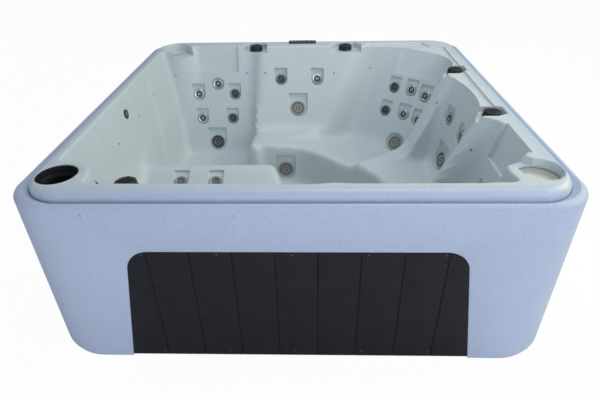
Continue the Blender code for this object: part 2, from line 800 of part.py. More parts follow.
def basin_loops(angles, level, grow, rings):
    """Loops of the basin surface from its lip to its middle, closer together at the lip."""
    lip = lip_radii(angles, level, grow)
    loops = []
    for ring in range(rings):
        share = 1.0 - (ring / rings) ** LIP_RING_POWER
        x = FOOTWELL_CENTRE[0] + np.cos(angles) * lip * share
        y = FOOTWELL_CENTRE[1] + np.sin(angles) * lip * share
        loops.append(np.column_stack([x, y, basin_height(x, y, grow)]))
    loops[0][:, 2] = level
    return lip, loops


def shell_mesh():
    """Closed mesh of the shell, its rim left a little high: rim, basin and the underside behind the wall."""
    angles = corner_spread_angles(SHELL_SECTORS)
    edge = RIM_EDGE_ROUND
    outer = []
    for inset, height in (
        (0.0, LEDGE_HEIGHT + SEAT_GAP),
        (0.0, RIM_HEIGHT - edge),
        (edge * ROUND_SHARE, RIM_HEIGHT - edge * ROUND_SHARE),
        (edge, RIM_HEIGHT + RIM_STOCK),
    ):
        radii = rounded_square_radius(angles, RIM_HALF - inset, RIM_CORNER_RADIUS - inset)
        outer.append(loop_points(radii, angles, height))
    lip, inside = basin_loops(angles, RIM_HEIGHT - LIP_ROUND, 0.0, SHELL_RINGS)
    outer.append(loop_points(lip + LIP_ROUND, angles, RIM_HEIGHT + RIM_STOCK))
    outer.append(loop_points(lip + LIP_ROUND * ROUND_SHARE, angles, RIM_HEIGHT - LIP_ROUND * ROUND_SHARE))
    under_level = RIM_HEIGHT - RIM_DEPTH
    _, under = basin_loops(angles, under_level, BASIN_WALL, UNDER_RINGS)
    step_radii = rounded_square_radius(angles, RIM_STEP_HALF, RIM_CORNER_RADIUS - RIM_HALF + RIM_STEP_HALF)
    skirt = [loop_points(step_radii, angles, height) for height in (under_level, LEDGE_HEIGHT + SEAT_GAP)]
    top_loops = outer + inside
    under_loops = under[::-1] + skirt
    return closed_loops(top_loops, under_loops)


def closed_loops(top_loops, under_loops):
    """Mesh from loops that run from the outer edge to the middle on top, and back out underneath."""
    centre_x, centre_y = FOOTWELL_CENTRE
    middle_x = np.array([centre_x])
    middle_y = np.array([centre_y])
    top_middle = (centre_x, centre_y, float(basin_height(middle_x, middle_y, 0.0)[0]))
    under_middle = (centre_x, centre_y, float(basin_height(middle_x, middle_y, BASIN_WALL)[0]))
    mesh = bmesh.new()
    rows = [[mesh.verts.new(point) for point in loop] for loop in top_loops]
    top_point = mesh.verts.new(top_middle)
    under_point = mesh.verts.new(under_middle)
    under_rows = [[mesh.verts.new(point) for point in loop] for loop in under_loops]
    count = len(rows[0])
    for near, far in zip(rows[:-1], rows[1:]):
        bridge(mesh, near, far)
    for near, far in zip(under_rows[:-1], under_rows[1:]):
        bridge(mesh, near, far)
    bridge(mesh, under_rows[-1], rows[0])
    for index in range(count):
        following = (index + 1) % count
        mesh.faces.new((rows[-1][index], rows[-1][following], top_point))
        mesh.faces.new((under_rows[0][following], under_rows[0][index], under_point))
    return mesh


def bridge(mesh, near, far):
    """Faces between two loops of equal count."""
    count = len(near)
    for index in range(count):
        following = (index + 1) % count
        mesh.faces.new((near[index], near[following], far[following], far[index]))


def clear_scene():
    """Removes whatever the scene holds."""
    for item in list(bpy.data.objects):
        bpy.data.objects.remove(item)


def material(name, metallic=0.0, roughness=0.4):
    """Material of one node."""
    made = bpy.data.materials.new(name)
    made.use_nodes = True
    shader = made.node_tree.nodes["Principled BSDF"]
    shader.inputs["Base Color"].default_value = (*COLOURS[name], 1.0)
    shader.inputs["Metallic"].default_value = metallic
    shader.inputs["Roughness"].default_value = roughness
    return made


def solid(name, mesh, place=None):
    """Scene object made from a bmesh, its faces turned outward, at a place."""
    bmesh.ops.recalc_face_normals(mesh, faces=mesh.faces)
    data = bpy.data.meshes.new(name)
    mesh.to_mesh(data)
    mesh.free()
    made = bpy.data.objects.new(name, data)
    bpy.context.scene.collection.objects.link(made)
    if place is not None:
        made.matrix_world = place
    return made


def combine(target, tools, operation):
    """Joins or cuts the target with each tool in turn and keeps the result as its mesh."""
    for tool in tools:
        bpy.context.view_layer.update()
        modifier = target.modifiers.new("combine", "BOOLEAN")
        modifier.operation = operation
        modifier.solver = "EXACT"
        modifier.object = tool
        graph = bpy.context.evaluated_depsgraph_get()
        baked = bpy.data.meshes.new_from_object(target.evaluated_get(graph))
        target.modifiers.clear()
        target.data = baked
        bpy.data.objects.remove(tool)
    return target


def flattened(part):
    """Merges the faces that lie in one plane."""
    mesh = bmesh.new()
    mesh.from_mesh(part.data)
    bmesh.ops.dissolve_limit(mesh, angle_limit=FLAT_ANGLE, verts=mesh.verts, edges=mesh.edges)
    bmesh.ops.triangulate(mesh, faces=mesh.faces)
    mesh.to_mesh(part.data)
    mesh.free()
    return part


def dressed(part, name, metallic=0.0, roughness=0.4):
    """Gives the finished part its only material."""
    part.data.materials.clear()
    part.data.materials.append(material(name, metallic, roughness))
    part.active_material.name = part.name
    return part


def loops_mesh(loops, ring):
    """Closed mesh through loops of equal count: a ring of loops, or a stack with both ends filled."""
    mesh = bmesh.new()
    rows = [[mesh.verts.new(point) for point in loop] for loop in loops]
    for near, far in zip(rows[:-1], rows[1:]):
        bridge(mesh, near, far)
    if ring:
        bridge(mesh, rows[-1], rows[0])
    else:
        mesh.faces.new(rows[0])
        mesh.faces.new(rows[-1])
    return mesh


def turned(profile, segments, ring=False, grip=1.0, grips=()):
    """Mesh turned about Z from (radius, height) pairs. Rows in grips have alternate points drawn in."""
    angles = np.linspace(0.0, 2.0 * np.pi, segments, endpoint=False)
    loops = []
    for row, (radius, height) in enumerate(profile):
        radii = np.full(segments, radius)
        if row in grips:
            radii[1::2] *= grip
        heights = np.full(segments, height)
        loops.append(np.column_stack([np.cos(angles) * radii, np.sin(angles) * radii, heights]))
    return loops_mesh(loops, ring)


def prism(outline, low, high):
    """Mesh with a plan outline between two heights."""
    return loops_mesh([[(x, y, low) for x, y in outline], [(x, y, high) for x, y in outline]], False)


def box(low, high):
    """Box between two corners."""
    outline = ((low[0], low[1]), (high[0], low[1]), (high[0], high[1]), (low[0], high[1]))
    return prism(outline, low[2], high[2])


def rounded_outline(corners, radius, steps):
    """Plan outline with each corner rounded by an arc."""
    outline = []
    count = len(corners)
    for index in range(count):
        here = Vector(corners[index])
        before = (Vector(corners[index - 1]) - here).normalized()
        after = (Vector(corners[(index + 1) % count]) - here).normalized()
        half = before.angle(after) / 2.0
        start = here + before * (radius / math.tan(half))
        middle = here + (before + after).normalized() * (radius / math.sin(half))
        spoke = start - middle
        turn = (math.pi - 2.0 * half) / steps
        if before.cross(after) > 0.0:
            turn = -turn
        for step in range(steps + 1):
            spun = Matrix.Rotation(turn * step, 2) @ spoke
            outline.append(tuple(middle + spun))
    return outline


def rectangle(half_x, half_y, centre=(0.0, 0.0)):
    """Corners of a rectangle about a centre."""
    x, y = centre
    return (
        (x - half_x, y - half_y),
        (x + half_x, y - half_y),
        (x + half_x, y + half_y),
        (x - half_x, y + half_y),
    )


def square_loop(half, corner, height):
    """Points of a rounded square about the Z axis at one height."""
    outline = rounded_outline(rectangle(half, half), corner, SKIRT_CORNER_STEPS)
    return [(x, y, height) for x, y in outline]


def bent(points, bend):
    """Route with each inner corner cut to two short chords."""
    points = [Vector(point) for point in points]
    route = [points[0]]
    for before, here, after in zip(points[:-2], points[1:-1], points[2:]):
        start = here + (before - here).normalized() * bend
        end = here + (after - here).normalized() * bend
        route += [start, (start + end) / 4.0 + here / 2.0, end]
    return route + [points[-1]]


def pipe(points, radius, segments):
    """Round rod along a route, mitred at each corner."""
    points = [Vector(point) for point in points]
    ways = [(after - before).normalized() for before, after in zip(points[:-1], points[1:])]
    turn = ways[0].to_track_quat("Z", "Y").to_matrix()
    angles = [2.0 * math.pi * index / segments for index in range(segments)]
    spokes = [turn @ Vector((math.cos(angle), math.sin(angle), 0.0)) for angle in angles]
    ring = [points[0] + spoke * radius for spoke in spokes]
    loops = [ring]
    for index in range(1, len(points)):
        way = ways[index - 1]
        normal = way if index == len(ways) else (way + ways[index]).normalized()
        ring = [spot + way * ((points[index] - spot).dot(normal) / way.dot(normal)) for spot in ring]
        loops.append(ring)
    return loops_mesh(loops, False)


def rod(start, end, radius, segments):
    """Straight round rod whose facets match those of the other rods along the same way."""
    return pipe((start, end), radius, segments)


def upright(x, y, z):
    """Place with its Z axis up."""
    return Matrix.Translation((x, y, z))


def along_x(x, y, z):
    """Place with its own Z axis along +X of the tub."""
    turn = Matrix(((0.0, 0.0, 1.0), (0.0, 1.0, 0.0), (-1.0, 0.0, 0.0))).to_4x4()
    return Matrix.Translation((x, y, z)) @ turn


def facing_place(x, y, z, degrees):
    """Place with its own X axis facing a way in plan and its Z axis up."""
    return Matrix.Translation((x, y, z)) @ Matrix.Rotation(math.radians(degrees), 4, "Z")


def wall_place(point):
    """Place on the basin wall: its own Z axis stands out from the wall and its Y axis runs up it."""
    spot = np.array(point)
    for _ in range(WALL_SEARCH_STEPS):
        away = float(outside_basin(*spot))
        slope = np.zeros(3)
        for axis in range(3):
            step = np.zeros(3)
            step[axis] = GRADIENT_STEP
            rise = outside_basin(*(spot + step)) - outside_basin(*(spot - step))
            slope[axis] = float(rise) / (2.0 * GRADIENT_STEP)
        spot = spot - away * slope / np.dot(slope, slope)
    out = Vector(-slope).normalized()
    up = (Vector((0.0, 0.0, 1.0)) - out * out.z).normalized()
    side = up.cross(out)
    turn = Matrix((side, up, out)).transposed().to_4x4()
    return Matrix.Translation(spot) @ turn


def lean_place(point, facing, lean):
    """Place on a leaning wall at its lip: its own Z axis stands out from the wall, its Y axis up it."""
    away_x, away_y = facing_vector(facing)
    out = Vector((away_x, away_y, lean)).normalized()
    up = (Vector((0.0, 0.0, 1.0)) - out * out.z).normalized()
    side = up.cross(out)
    turn = Matrix((side, up, out)).transposed().to_4x4()
    return Matrix.Translation((point[0], point[1], RIM_HEIGHT)) @ turn


def sunk(place, depth):
    """The same place moved back along its own Z axis."""
    return place @ Matrix.Translation((0.0, 0.0, -depth))


def knob_floor(name):
    """Height of the floor of one knob's notch."""
    return RIM_HEIGHT - KNOBS[name][3]


def jet_place(name):
    """Place of one jet on the floor of its pocket."""
    jet, point = JETS[name]
    return sunk(wall_place(point), jet["pocket_depth"])


def pocket_cutter(name):
    """Cutter of one jet's pocket: a round foot that runs up to a square top."""
    jet = JETS[name][0]
    half = jet["pocket_half"]
    if not jet["pocket_top"]:
        outline = rounded_outline(rectangle(half, half), half - JOIN_OVERLAP, POCKET_ARC_STEPS // 2)
    else:
        outline = [(half, jet["pocket_top"]), (-half, jet["pocket_top"])]
        for step in range(POCKET_ARC_STEPS + 1):
            angle = math.pi * (1.0 + step / POCKET_ARC_STEPS)
            outline.append((math.cos(angle) * half, math.sin(angle) * half))
    return solid("cutter", prism(outline, 0.0, jet["pocket_depth"] + POCKET_OUT), jet_place(name))


def jet_hole_cutter(name):
    """Cutter of one jet's hole through the wall."""
    jet = JETS[name][0]
    profile = ((jet["hole"], -JET_BODY_LENGTH), (jet["hole"], JOIN_OVERLAP))
    return solid("cutter", turned(profile, jet["segments"]), jet_place(name))


def notch_cutter(name):
    """Cutter of one knob's notch, which flares out over the basin, or of the low knob's spot face."""
    (x, y), facing, half, depth = KNOBS[name]
    if not half:
        floor = knob_floor(name)
        return round_cutter((x, y), SPOT_FACE_RADIUS, floor, floor + SPOT_FACE_REACH, VALVE_SEGMENTS)
    narrow = half * NOTCH_BACK_SHARE
    outline = (
        (-NOTCH_BACK, -narrow),
        (NOTCH_FLARE - NOTCH_BACK, -half),
        (NOTCH_REACH, -half),
        (NOTCH_REACH, half),
        (NOTCH_FLARE - NOTCH_BACK, half),
        (-NOTCH_BACK, narrow),
    )
    return solid("cutter", prism(outline, -depth, CUT_OVERRUN), facing_place(x, y, RIM_HEIGHT, facing))


def recess_cutter(point, facing, lean):
    """Cutter of one head recess, parallel to its seat's back and open at the rim."""
    low = (-HEAD_RECESS_HALF, -HEAD_RECESS_HEIGHT, -HEAD_RECESS_DEPTH)
    high = (HEAD_RECESS_HALF, CUT_OVERRUN, HEAD_RECESS_REACH)
    return solid("cutter", box(low, high), lean_place(point, facing, lean))


def round_cutter(centre, radius, low, high, segments):
    """Upright round cutter."""
    return solid("cutter", turned(((radius, low), (radius, high)), segments), upright(*centre, 0.0))


def well_cutters():
    """Cutters of the filter well, the bowl well, the dish and the lowered shelf."""
    top = RIM_HEIGHT + CUT_OVERRUN
    floor = RIM_HEIGHT - WELL_DEPTH
    under = RIM_HEIGHT - RIM_DEPTH - CUT_OVERRUN
    ridge_place = facing_place(*BOWL_CENTRE, RIM_HEIGHT, 180.0 - SPOUT_FACING)
    ridge = box((0.0, -BOWL_RIDGE_HALF, -BOWL_RIDGE_DEPTH), (BOWL_RIDGE_REACH, BOWL_RIDGE_HALF, CUT_OVERRUN))
    mouth_place = facing_place(*DISH_CENTRE, RIM_HEIGHT, -SPOUT_FACING)
    mouth = box((0.0, -DISH_MOUTH_HALF, -DISH_DEPTH), (DISH_MOUTH_REACH, DISH_MOUTH_HALF, CUT_OVERRUN))
    return [
        solid("cutter", prism(SHELF_OUTLINE, RIM_HEIGHT - SHELF_DEPTH, top)),
        round_cutter(FILTER_CENTRE, FILTER_WELL_RADIUS, floor, top, WELL_SEGMENTS),
        round_cutter(FILTER_CENTRE, FILTER_THROAT_RADIUS, under, floor + JOIN_OVERLAP, WELL_SEGMENTS),
        round_cutter(BOWL_CENTRE, BOWL_WELL_RADIUS, floor, top, WELL_SEGMENTS),
        round_cutter(BOWL_CENTRE, BOWL_THROAT_RADIUS, under, floor + JOIN_OVERLAP, WELL_SEGMENTS),
        solid("cutter", ridge, ridge_place),
        round_cutter(DISH_CENTRE, DISH_RADIUS, RIM_HEIGHT - DISH_DEPTH, top, WELL_SEGMENTS),
        solid("cutter", mouth, mouth_place),
    ]


def spout_cutter():
    """Cutter of the filter's mouth through the wall of the corner post."""
    half = SPOUT_HALF + MOUTH_GAP
    low = (MOUTH_CUT_START, -half, SPOUT_LOW - MOUTH_GAP)
    high = (MOUTH_CUT_END, half, SPOUT_HIGH + MOUTH_GAP)
    return solid("cutter", box(low, high), facing_place(*FILTER_CENTRE, 0.0, SPOUT_FACING))


def seated_cutters(point, seat_radius, hole_radius, segments):
    """Cutters of a shallow round seat on the wall and the hole behind it."""
    place = sunk(wall_place(point), SEAT_CUT_DEPTH)
    seat = turned(((seat_radius + SEAT_CUT_GAP, 0.0), (seat_radius + SEAT_CUT_GAP, POCKET_OUT)), segments)
    hole = turned(((hole_radius, -JET_BODY_LENGTH), (hole_radius, JOIN_OVERLAP)), segments)
    return [solid("cutter", seat, place), solid("cutter", hole, place)]


def make_shell():
    """The moulded shell with its wells, notches, pockets and holes."""
    shell = solid("tub_shell", shell_mesh())
    thin = shell.modifiers.new("thin", "DECIMATE")
    thin.ratio = SHELL_FACE_SHARE
    graph = bpy.context.evaluated_depsgraph_get()
    shell.data = bpy.data.meshes.new_from_object(shell.evaluated_get(graph))
    shell.modifiers.clear()
    above = box((-OUTER_HALF, -OUTER_HALF, RIM_HEIGHT), (OUTER_HALF, OUTER_HALF, RIM_HEIGHT + CUT_OVERRUN))
    cutters = [solid("cutter", above)] + well_cutters()
    cutters += [recess_cutter(*recess) for recess in HEAD_RECESSES]
    for name in KNOBS:
        cutters.append(notch_cutter(name))
        ends = (VALVE_HOLE_LOW, RIM_HEIGHT)
        cutters.append(round_cutter(KNOBS[name][0], VALVE_HOLE_RADIUS, *ends, VALVE_SEGMENTS))
    for name in JETS:
        cutters.append(pocket_cutter(name))
        cutters.append(jet_hole_cutter(name))
    cutters += seated_cutters(LIGHT_POINT, LIGHT_FLANGE_RADIUS, LIGHT_HOLE_RADIUS, LIGHT_SEGMENTS)
    cutters += seated_cutters(DRAIN_POINT, DRAIN_FLANGE_RADIUS, DRAIN_HOLE_RADIUS, DRAIN_SEGMENTS)
    for name in SUCTION_POINTS:
        hole = SUCTION_NECK_RADIUS + PIPE_FIT
        cutters += seated_cutters(SUCTION_POINTS[name], SUCTION_FLANGE_RADIUS, hole, SUCTION_SEGMENTS)
    cutters.append(spout_cutter())
    half_x = TOPSIDE_BODY_HALF[0] + TOPSIDE_SLOT_GAP
    half_y = TOPSIDE_BODY_HALF[1] + TOPSIDE_SLOT_GAP
    slot = rectangle(half_x, half_y, (TOPSIDE_CENTRE[0], TOPSIDE_BODY_Y))
    low = RIM_HEIGHT - RIM_DEPTH - CUT_OVERRUN
    cutters.append(solid("cutter", prism(slot, low, RIM_HEIGHT + CUT_OVERRUN)))
    combine(shell, cutters, "DIFFERENCE")
    return dressed(flattened(shell), "shell")


def make_jets():
    """The turning face of each jet, with its hub, finger grips, dish and nozzle."""
    for name, (jet, _) in JETS.items():
        low = SEAT_GAP + JET_COLLAR_THICK + RUNNING_GAP
        top = low + JET_FACE_THICK
        hub = jet["cup"] * math.cos(math.pi / jet["segments"]) - RUNNING_GAP
        face = jet["face"]
        ring = face * JET_RING_SHARE
        nozzle = face * JET_NOZZLE_SHARE
        profile = (
            (hub, low - JET_HUB_LENGTH),
            (hub, low),
            (face, low),
            (face, top - JET_FACE_ROUND),
            (face - JET_FACE_ROUND, top),
            (ring, top),
            (nozzle, top - JET_DISH_DEPTH),
            (nozzle, top - JET_NOZZLE_DEPTH),
        )
        mesh = turned(profile, jet["segments"], grip=JET_GRIP_SHARE, grips=(2, 3))
        dressed(solid(name, mesh, jet_place(name)), "steel", 0.9, 0.25)


def jet_body(name):
    """Fixed body of one jet: collar, cup and the nipple behind it."""
    jet = JETS[name][0]
    low = SEAT_GAP
    top = low + JET_COLLAR_THICK
    profile = (
        (jet["cup"], top - JET_CUP_DEPTH),
        (jet["cup"], top),
        (jet["collar"], top),
        (jet["collar"], low),
        (jet["body"], low),
        (jet["body"], low - JET_BODY_LENGTH),
    )
    return solid("body", turned(profile, jet["segments"]), jet_place(name))


def jet_hose(name, riser):
    """Hose from behind one jet to a point on its riser."""
    place = jet_place(name)
    start = place @ Vector((0.0, 0.0, JOIN_OVERLAP - JET_BODY_LENGTH))
    corner = place @ Vector((0.0, 0.0, -JET_BODY_LENGTH - JET_NIPPLE_LENGTH))
    height = min(max(corner.z - JET_HOSE_FALL, RETURN_Z + SOCKET_RISE + JET_HOSE_FALL), RISER_TOP)
    end = (riser[0], riser[1], height)
    return solid("hose", pipe((start, corner, end), JET_HOSE_RADIUS, JET_HOSE_SEGMENTS))


def valve_body(name):
    """Valve under one knob: collar on the notch floor and neck through the rim, open at the top."""
    (x, y), floor = KNOBS[name][0], knob_floor(name)
    top = floor + SEAT_GAP + VALVE_COLLAR_HEIGHT
    profile = (
        (VALVE_BORE_RADIUS, top - VALVE_BORE_DEPTH),
        (VALVE_BORE_RADIUS, top),
        (VALVE_COLLAR_RADIUS, top),
        (VALVE_COLLAR_RADIUS, floor + SEAT_GAP),
        (VALVE_NECK_RADIUS, floor + SEAT_GAP),
        (VALVE_NECK_RADIUS, VALVE_NECK_END),
    )
    return solid("valve", turned(profile, VALVE_SEGMENTS), upright(x, y, 0.0))


def make_plumbing():
    """Each circuit: riser from the return pipe, hoses, jet bodies and valve, as one part."""
    for name, circuit in CIRCUITS.items():
        foot = circuit["foot"]
        turn = circuit["turn"]
        valve = KNOBS[circuit["valve"]][0]
        low = RETURN_Z + SOCKET_RISE - SOCKET_DEPTH + SEAT_GAP
        route = [(*foot, low), (*foot, RISER_TOP)]
        if turn != foot:
            route.append((*turn, RISER_TOP))
        route.append((*valve, VALVE_NECK_END + JOIN_OVERLAP))
        part = solid(name, pipe(bent(route, RISER_RADIUS), RISER_RADIUS, RISER_SEGMENTS))
        pieces = [valve_body(circuit["valve"])]
        for jet in circuit["jets"]:
            pieces.append(jet_hose(jet, foot))
            pieces.append(jet_body(jet))
        combine(part, pieces, "UNION")
        dressed(part, "pipe")


def make_calf_plumbing():
    """Circuit of the calf jets, fed through the heater, with its run along the floor under the lounge."""
    valve = KNOBS[CALF_VALVE][0]
    start_x = HEATER_START_X + SOCKET_DEPTH - SEAT_GAP
    riser = (valve[0], CALF_RISER_Y)
    part = solid(
        "plumbing_calf",
        pipe(
            bent(
                (
                    (valve[0], CALF_END_Y, CALF_LINK_Z),
                    (valve[0], CALF_END_Y, CALF_RUN_Z),
                    (*riser, CALF_RUN_Z),
                    (*riser, RISER_TOP),
                    (*valve, VALVE_NECK_END + JOIN_OVERLAP),
                ),
                RISER_RADIUS,
            ),
            RISER_RADIUS,
            RISER_SEGMENTS,
        ),
    )
    pieces = [
        valve_body(CALF_VALVE),
        solid("feed", rod((start_x, HEATER_Y, HEATER_Z), (*riser, HEATER_Z), RISER_RADIUS, RISER_SEGMENTS)),
    ]
    far_x = (jet_place(CALF_JETS[1]) @ Vector((0.0, 0.0, -JET_BODY_LENGTH))).x
    link = ((valve[0], CALF_END_Y, CALF_LINK_Z), (far_x, CALF_END_Y, CALF_LINK_Z))
    pieces.append(solid("link", rod(*link, JET_HOSE_RADIUS, JET_HOSE_SEGMENTS)))
    for jet in CALF_JETS:
        place = jet_place(jet)
        back = place @ Vector((0.0, 0.0, -JET_BODY_LENGTH - JET_NIPPLE_LENGTH))
        start = place @ Vector((0.0, 0.0, JOIN_OVERLAP - JET_BODY_LENGTH))
        below = (back.x, CALF_END_Y, CALF_LINK_Z - JET_HOSE_RADIUS / 2.0)
        pieces.append(solid("hose", pipe((start, back, below), JET_HOSE_RADIUS, JET_HOSE_SEGMENTS)))
        pieces.append(jet_body(jet))
    combine(part, pieces, "UNION")
    dressed(part, "pipe")


def make_knobs():
    """Lobed diverter knobs with a sunk cap and a stem into the valve."""
    low = SEAT_GAP + VALVE_COLLAR_HEIGHT + RUNNING_GAP
    profile = (
        (KNOB_STEM_RADIUS, low - KNOB_STEM_LENGTH),
        (KNOB_STEM_RADIUS, low),
        (KNOB_RADIUS, low),
        (KNOB_RADIUS, low + KNOB_SKIRT_HEIGHT),
        (KNOB_RADIUS - KNOB_CHAMFER / 2.0, low + KNOB_HEIGHT - KNOB_CHAMFER),
        (KNOB_TOP_RADIUS, low + KNOB_HEIGHT),
        (KNOB_CAP_RADIUS, low + KNOB_HEIGHT),
        (KNOB_CAP_RADIUS, low + KNOB_HEIGHT - KNOB_CAP_SINK),
    )
    for name, (centre, _, _, _) in KNOBS.items():
        mesh = turned(profile, KNOB_SEGMENTS, grip=KNOB_GRIP_SHARE, grips=(3, 4))
        dressed(solid(name, mesh, upright(*centre, knob_floor(name))), "black")


def make_skirt():
    """Cabinet skirt: drafted foot corners, rounded ledge, bottom flange and the framed access opening."""
    outer = OUTER_HALF
    edge = SKIRT_EDGE_ROUND
    inner = outer - SKIRT_WALL
    inner_corner = CORNER_RADIUS - SKIRT_WALL
    ledge_corner = CORNER_RADIUS - outer + LEDGE_INNER_HALF
    flange_corner = FOOT_CORNER_RADIUS - outer + FLANGE_INNER_HALF
    loops = (
        square_loop(outer, FOOT_CORNER_RADIUS, 0.0),
        square_loop(outer, FOOT_CORNER_MIDDLE, FOOT_CORNER_STEP),
        square_loop(outer, CORNER_RADIUS, FOOT_CORNER_HEIGHT),
        square_loop(outer, CORNER_RADIUS, LEDGE_HEIGHT - edge),
        square_loop(outer - edge * ROUND_SHARE, CORNER_RADIUS, LEDGE_HEIGHT - edge * ROUND_SHARE),
        square_loop(outer - edge, CORNER_RADIUS, LEDGE_HEIGHT),
        square_loop(LEDGE_INNER_HALF, ledge_corner, LEDGE_HEIGHT),
        square_loop(LEDGE_INNER_HALF, ledge_corner, LEDGE_HEIGHT - LEDGE_THICK),
        square_loop(inner - edge, inner_corner, LEDGE_HEIGHT - LEDGE_THICK),
        square_loop(inner, inner_corner, LEDGE_HEIGHT - LEDGE_THICK - edge),
        square_loop(inner, inner_corner, FOOT_CORNER_HEIGHT),
        square_loop(inner, FOOT_CORNER_RADIUS - SKIRT_WALL, FLANGE_THICK),
        square_loop(FLANGE_INNER_HALF, flange_corner, FLANGE_THICK),
        square_loop(FLANGE_INNER_HALF, flange_corner, 0.0),
    )
    skirt = solid("cabinet_skirt", loops_mesh(loops, True))
    rebate = panel_outline(PANEL_GAP)
    opening = panel_outline(-PANEL_LAP)
    opening = [(x, max(z, PANEL_SILL)) for x, z in opening]
    drain = rod(
        (drain_end().x, OUTER_HALF + CUT_OVERRUN, DRAIN_RUN_Z),
        (drain_end().x, OUTER_HALF - SKIRT_WALL - CUT_OVERRUN, DRAIN_RUN_Z),
        DRAIN_OPENING_RADIUS,
        DRAIN_SEGMENTS,
    )
    cutters = [
        solid("cutter", front_prism(rebate, PANEL_RECESS + PANEL_THICK + SEAT_GAP)),
        solid("cutter", front_prism(opening, SKIRT_WALL + CUT_OVERRUN)),
        solid("cutter", drain),
    ]
    combine(skirt, cutters, "DIFFERENCE")
    return dressed(skirt, "skirt")


def front_prism(outline, depth):
    """Mesh of an outline in x and z, cut into the front face to a depth."""
    near = -OUTER_HALF - CUT_OVERRUN
    far = -OUTER_HALF + depth
    return loops_mesh([[(x, near, z) for x, z in outline], [(x, far, z) for x, z in outline]], False)


def panel_outline(grow):
    """Outline of the access panel in x and z: wider at the foot, rounded at the top."""
    corners = (
        (-PANEL_BOTTOM_HALF - grow, PANEL_BOTTOM - grow),
        (PANEL_BOTTOM_HALF + grow, PANEL_BOTTOM - grow),
        (PANEL_TOP_HALF + grow, PANEL_TOP + grow),
        (-PANEL_TOP_HALF - grow, PANEL_TOP + grow),
    )
    return rounded_outline(corners, PANEL_CORNER_RADIUS + grow, PANEL_CORNER_STEPS)


def make_panel():
    """Access panel with its upright V grooves."""
    face = PANEL_RECESS - OUTER_HALF
    outline = panel_outline(0.0)
    near = [(x, face, z) for x, z in outline]
    far = [(x, face + PANEL_THICK, z) for x, z in outline]
    panel = solid("access_panel", loops_mesh([near, far], False))
    cutters = []
    for index in range(GROOVE_COUNT):
        x = GROOVE_FIRST_X + GROOVE_PITCH * index
        section = (
            (x - 2.0 * GROOVE_HALF, face - GROOVE_DEPTH),
            (x + 2.0 * GROOVE_HALF, face - GROOVE_DEPTH),
            (x, face + GROOVE_DEPTH),
        )
        cutters.append(solid("cutter", prism(section, PANEL_BOTTOM - CUT_OVERRUN, PANEL_TOP + CUT_OVERRUN)))
    combine(panel, cutters, "DIFFERENCE")
    return dressed(panel, "panel")


def make_base():
    """Base pan: plate on the skirt's flange, skids down to the ground and a pedestal under the footwell."""
    low = FLANGE_THICK + SEAT_GAP
    top = low + PAN_THICK
    outline = [(x, y) for x, y, _ in square_loop(PAN_HALF, PAN_CORNER_RADIUS, low)]
    pan = solid("base_pan", prism(outline, low, top))
    pieces = []
    for index in range(SKID_COUNT):
        x = SKID_SPACING * (index - (SKID_COUNT - 1) / 2.0)
        corner = (x - SKID_HALF_WIDTH, -SKID_HALF_LENGTH, 0.0)
        skid = box(corner, (x + SKID_HALF_WIDTH, SKID_HALF_LENGTH, low + JOIN_OVERLAP))
        pieces.append(solid("skid", skid))
    pad_top = FLOOR_HEIGHT - BASIN_WALL - SEAT_GAP
    pieces.append(solid("pedestal", box((*PEDESTAL_LOW, top - JOIN_OVERLAP), (*PEDESTAL_HIGH, pad_top))))
    combine(pan, pieces, "UNION")
    return dressed(pan, "black")


def make_bucket():
    """Filter bucket: flange in the corner well, tube with an outlet nozzle and the spout into the basin."""
    floor = RIM_HEIGHT - WELL_DEPTH + SEAT_GAP
    inner = BUCKET_RADIUS - BUCKET_WALL
    profile = (
        (BUCKET_FLANGE_RADIUS, floor),
        (BUCKET_FLANGE_RADIUS, floor + BUCKET_FLANGE_THICK),
        (inner, floor + BUCKET_FLANGE_THICK),
        (inner, BUCKET_BOTTOM + BUCKET_WALL),
        (BUCKET_NOZZLE_BORE, BUCKET_BOTTOM + BUCKET_WALL),
        (BUCKET_NOZZLE_BORE, BUCKET_NOZZLE_END),
        (BUCKET_NOZZLE_RADIUS, BUCKET_NOZZLE_END),
        (BUCKET_NOZZLE_RADIUS, BUCKET_BOTTOM),
        (BUCKET_RADIUS, BUCKET_BOTTOM),
        (BUCKET_RADIUS, floor),
    )
    bucket = solid("filter_bucket", turned(profile, WELL_SEGMENTS, ring=True), upright(*FILTER_CENTRE, 0.0))
    place = facing_place(*FILTER_CENTRE, 0.0, SPOUT_FACING)
    near = (SPOUT_INNER_REACH + BUCKET_WALL, -SPOUT_HALF, SPOUT_LOW)
    spout = box(near, (SPOUT_REACH, SPOUT_HALF, SPOUT_HIGH))
    half = SPOUT_HALF - SPOUT_WALL
    low = (0.0, -half, SPOUT_LOW + SPOUT_WALL)
    duct = box(low, (SPOUT_REACH + CUT_OVERRUN, half, SPOUT_HIGH - SPOUT_WALL))
    combine(bucket, [solid("spout", spout, place)], "UNION")
    combine(bucket, [solid("duct", duct, place)], "DIFFERENCE")
    return dressed(bucket, "black")


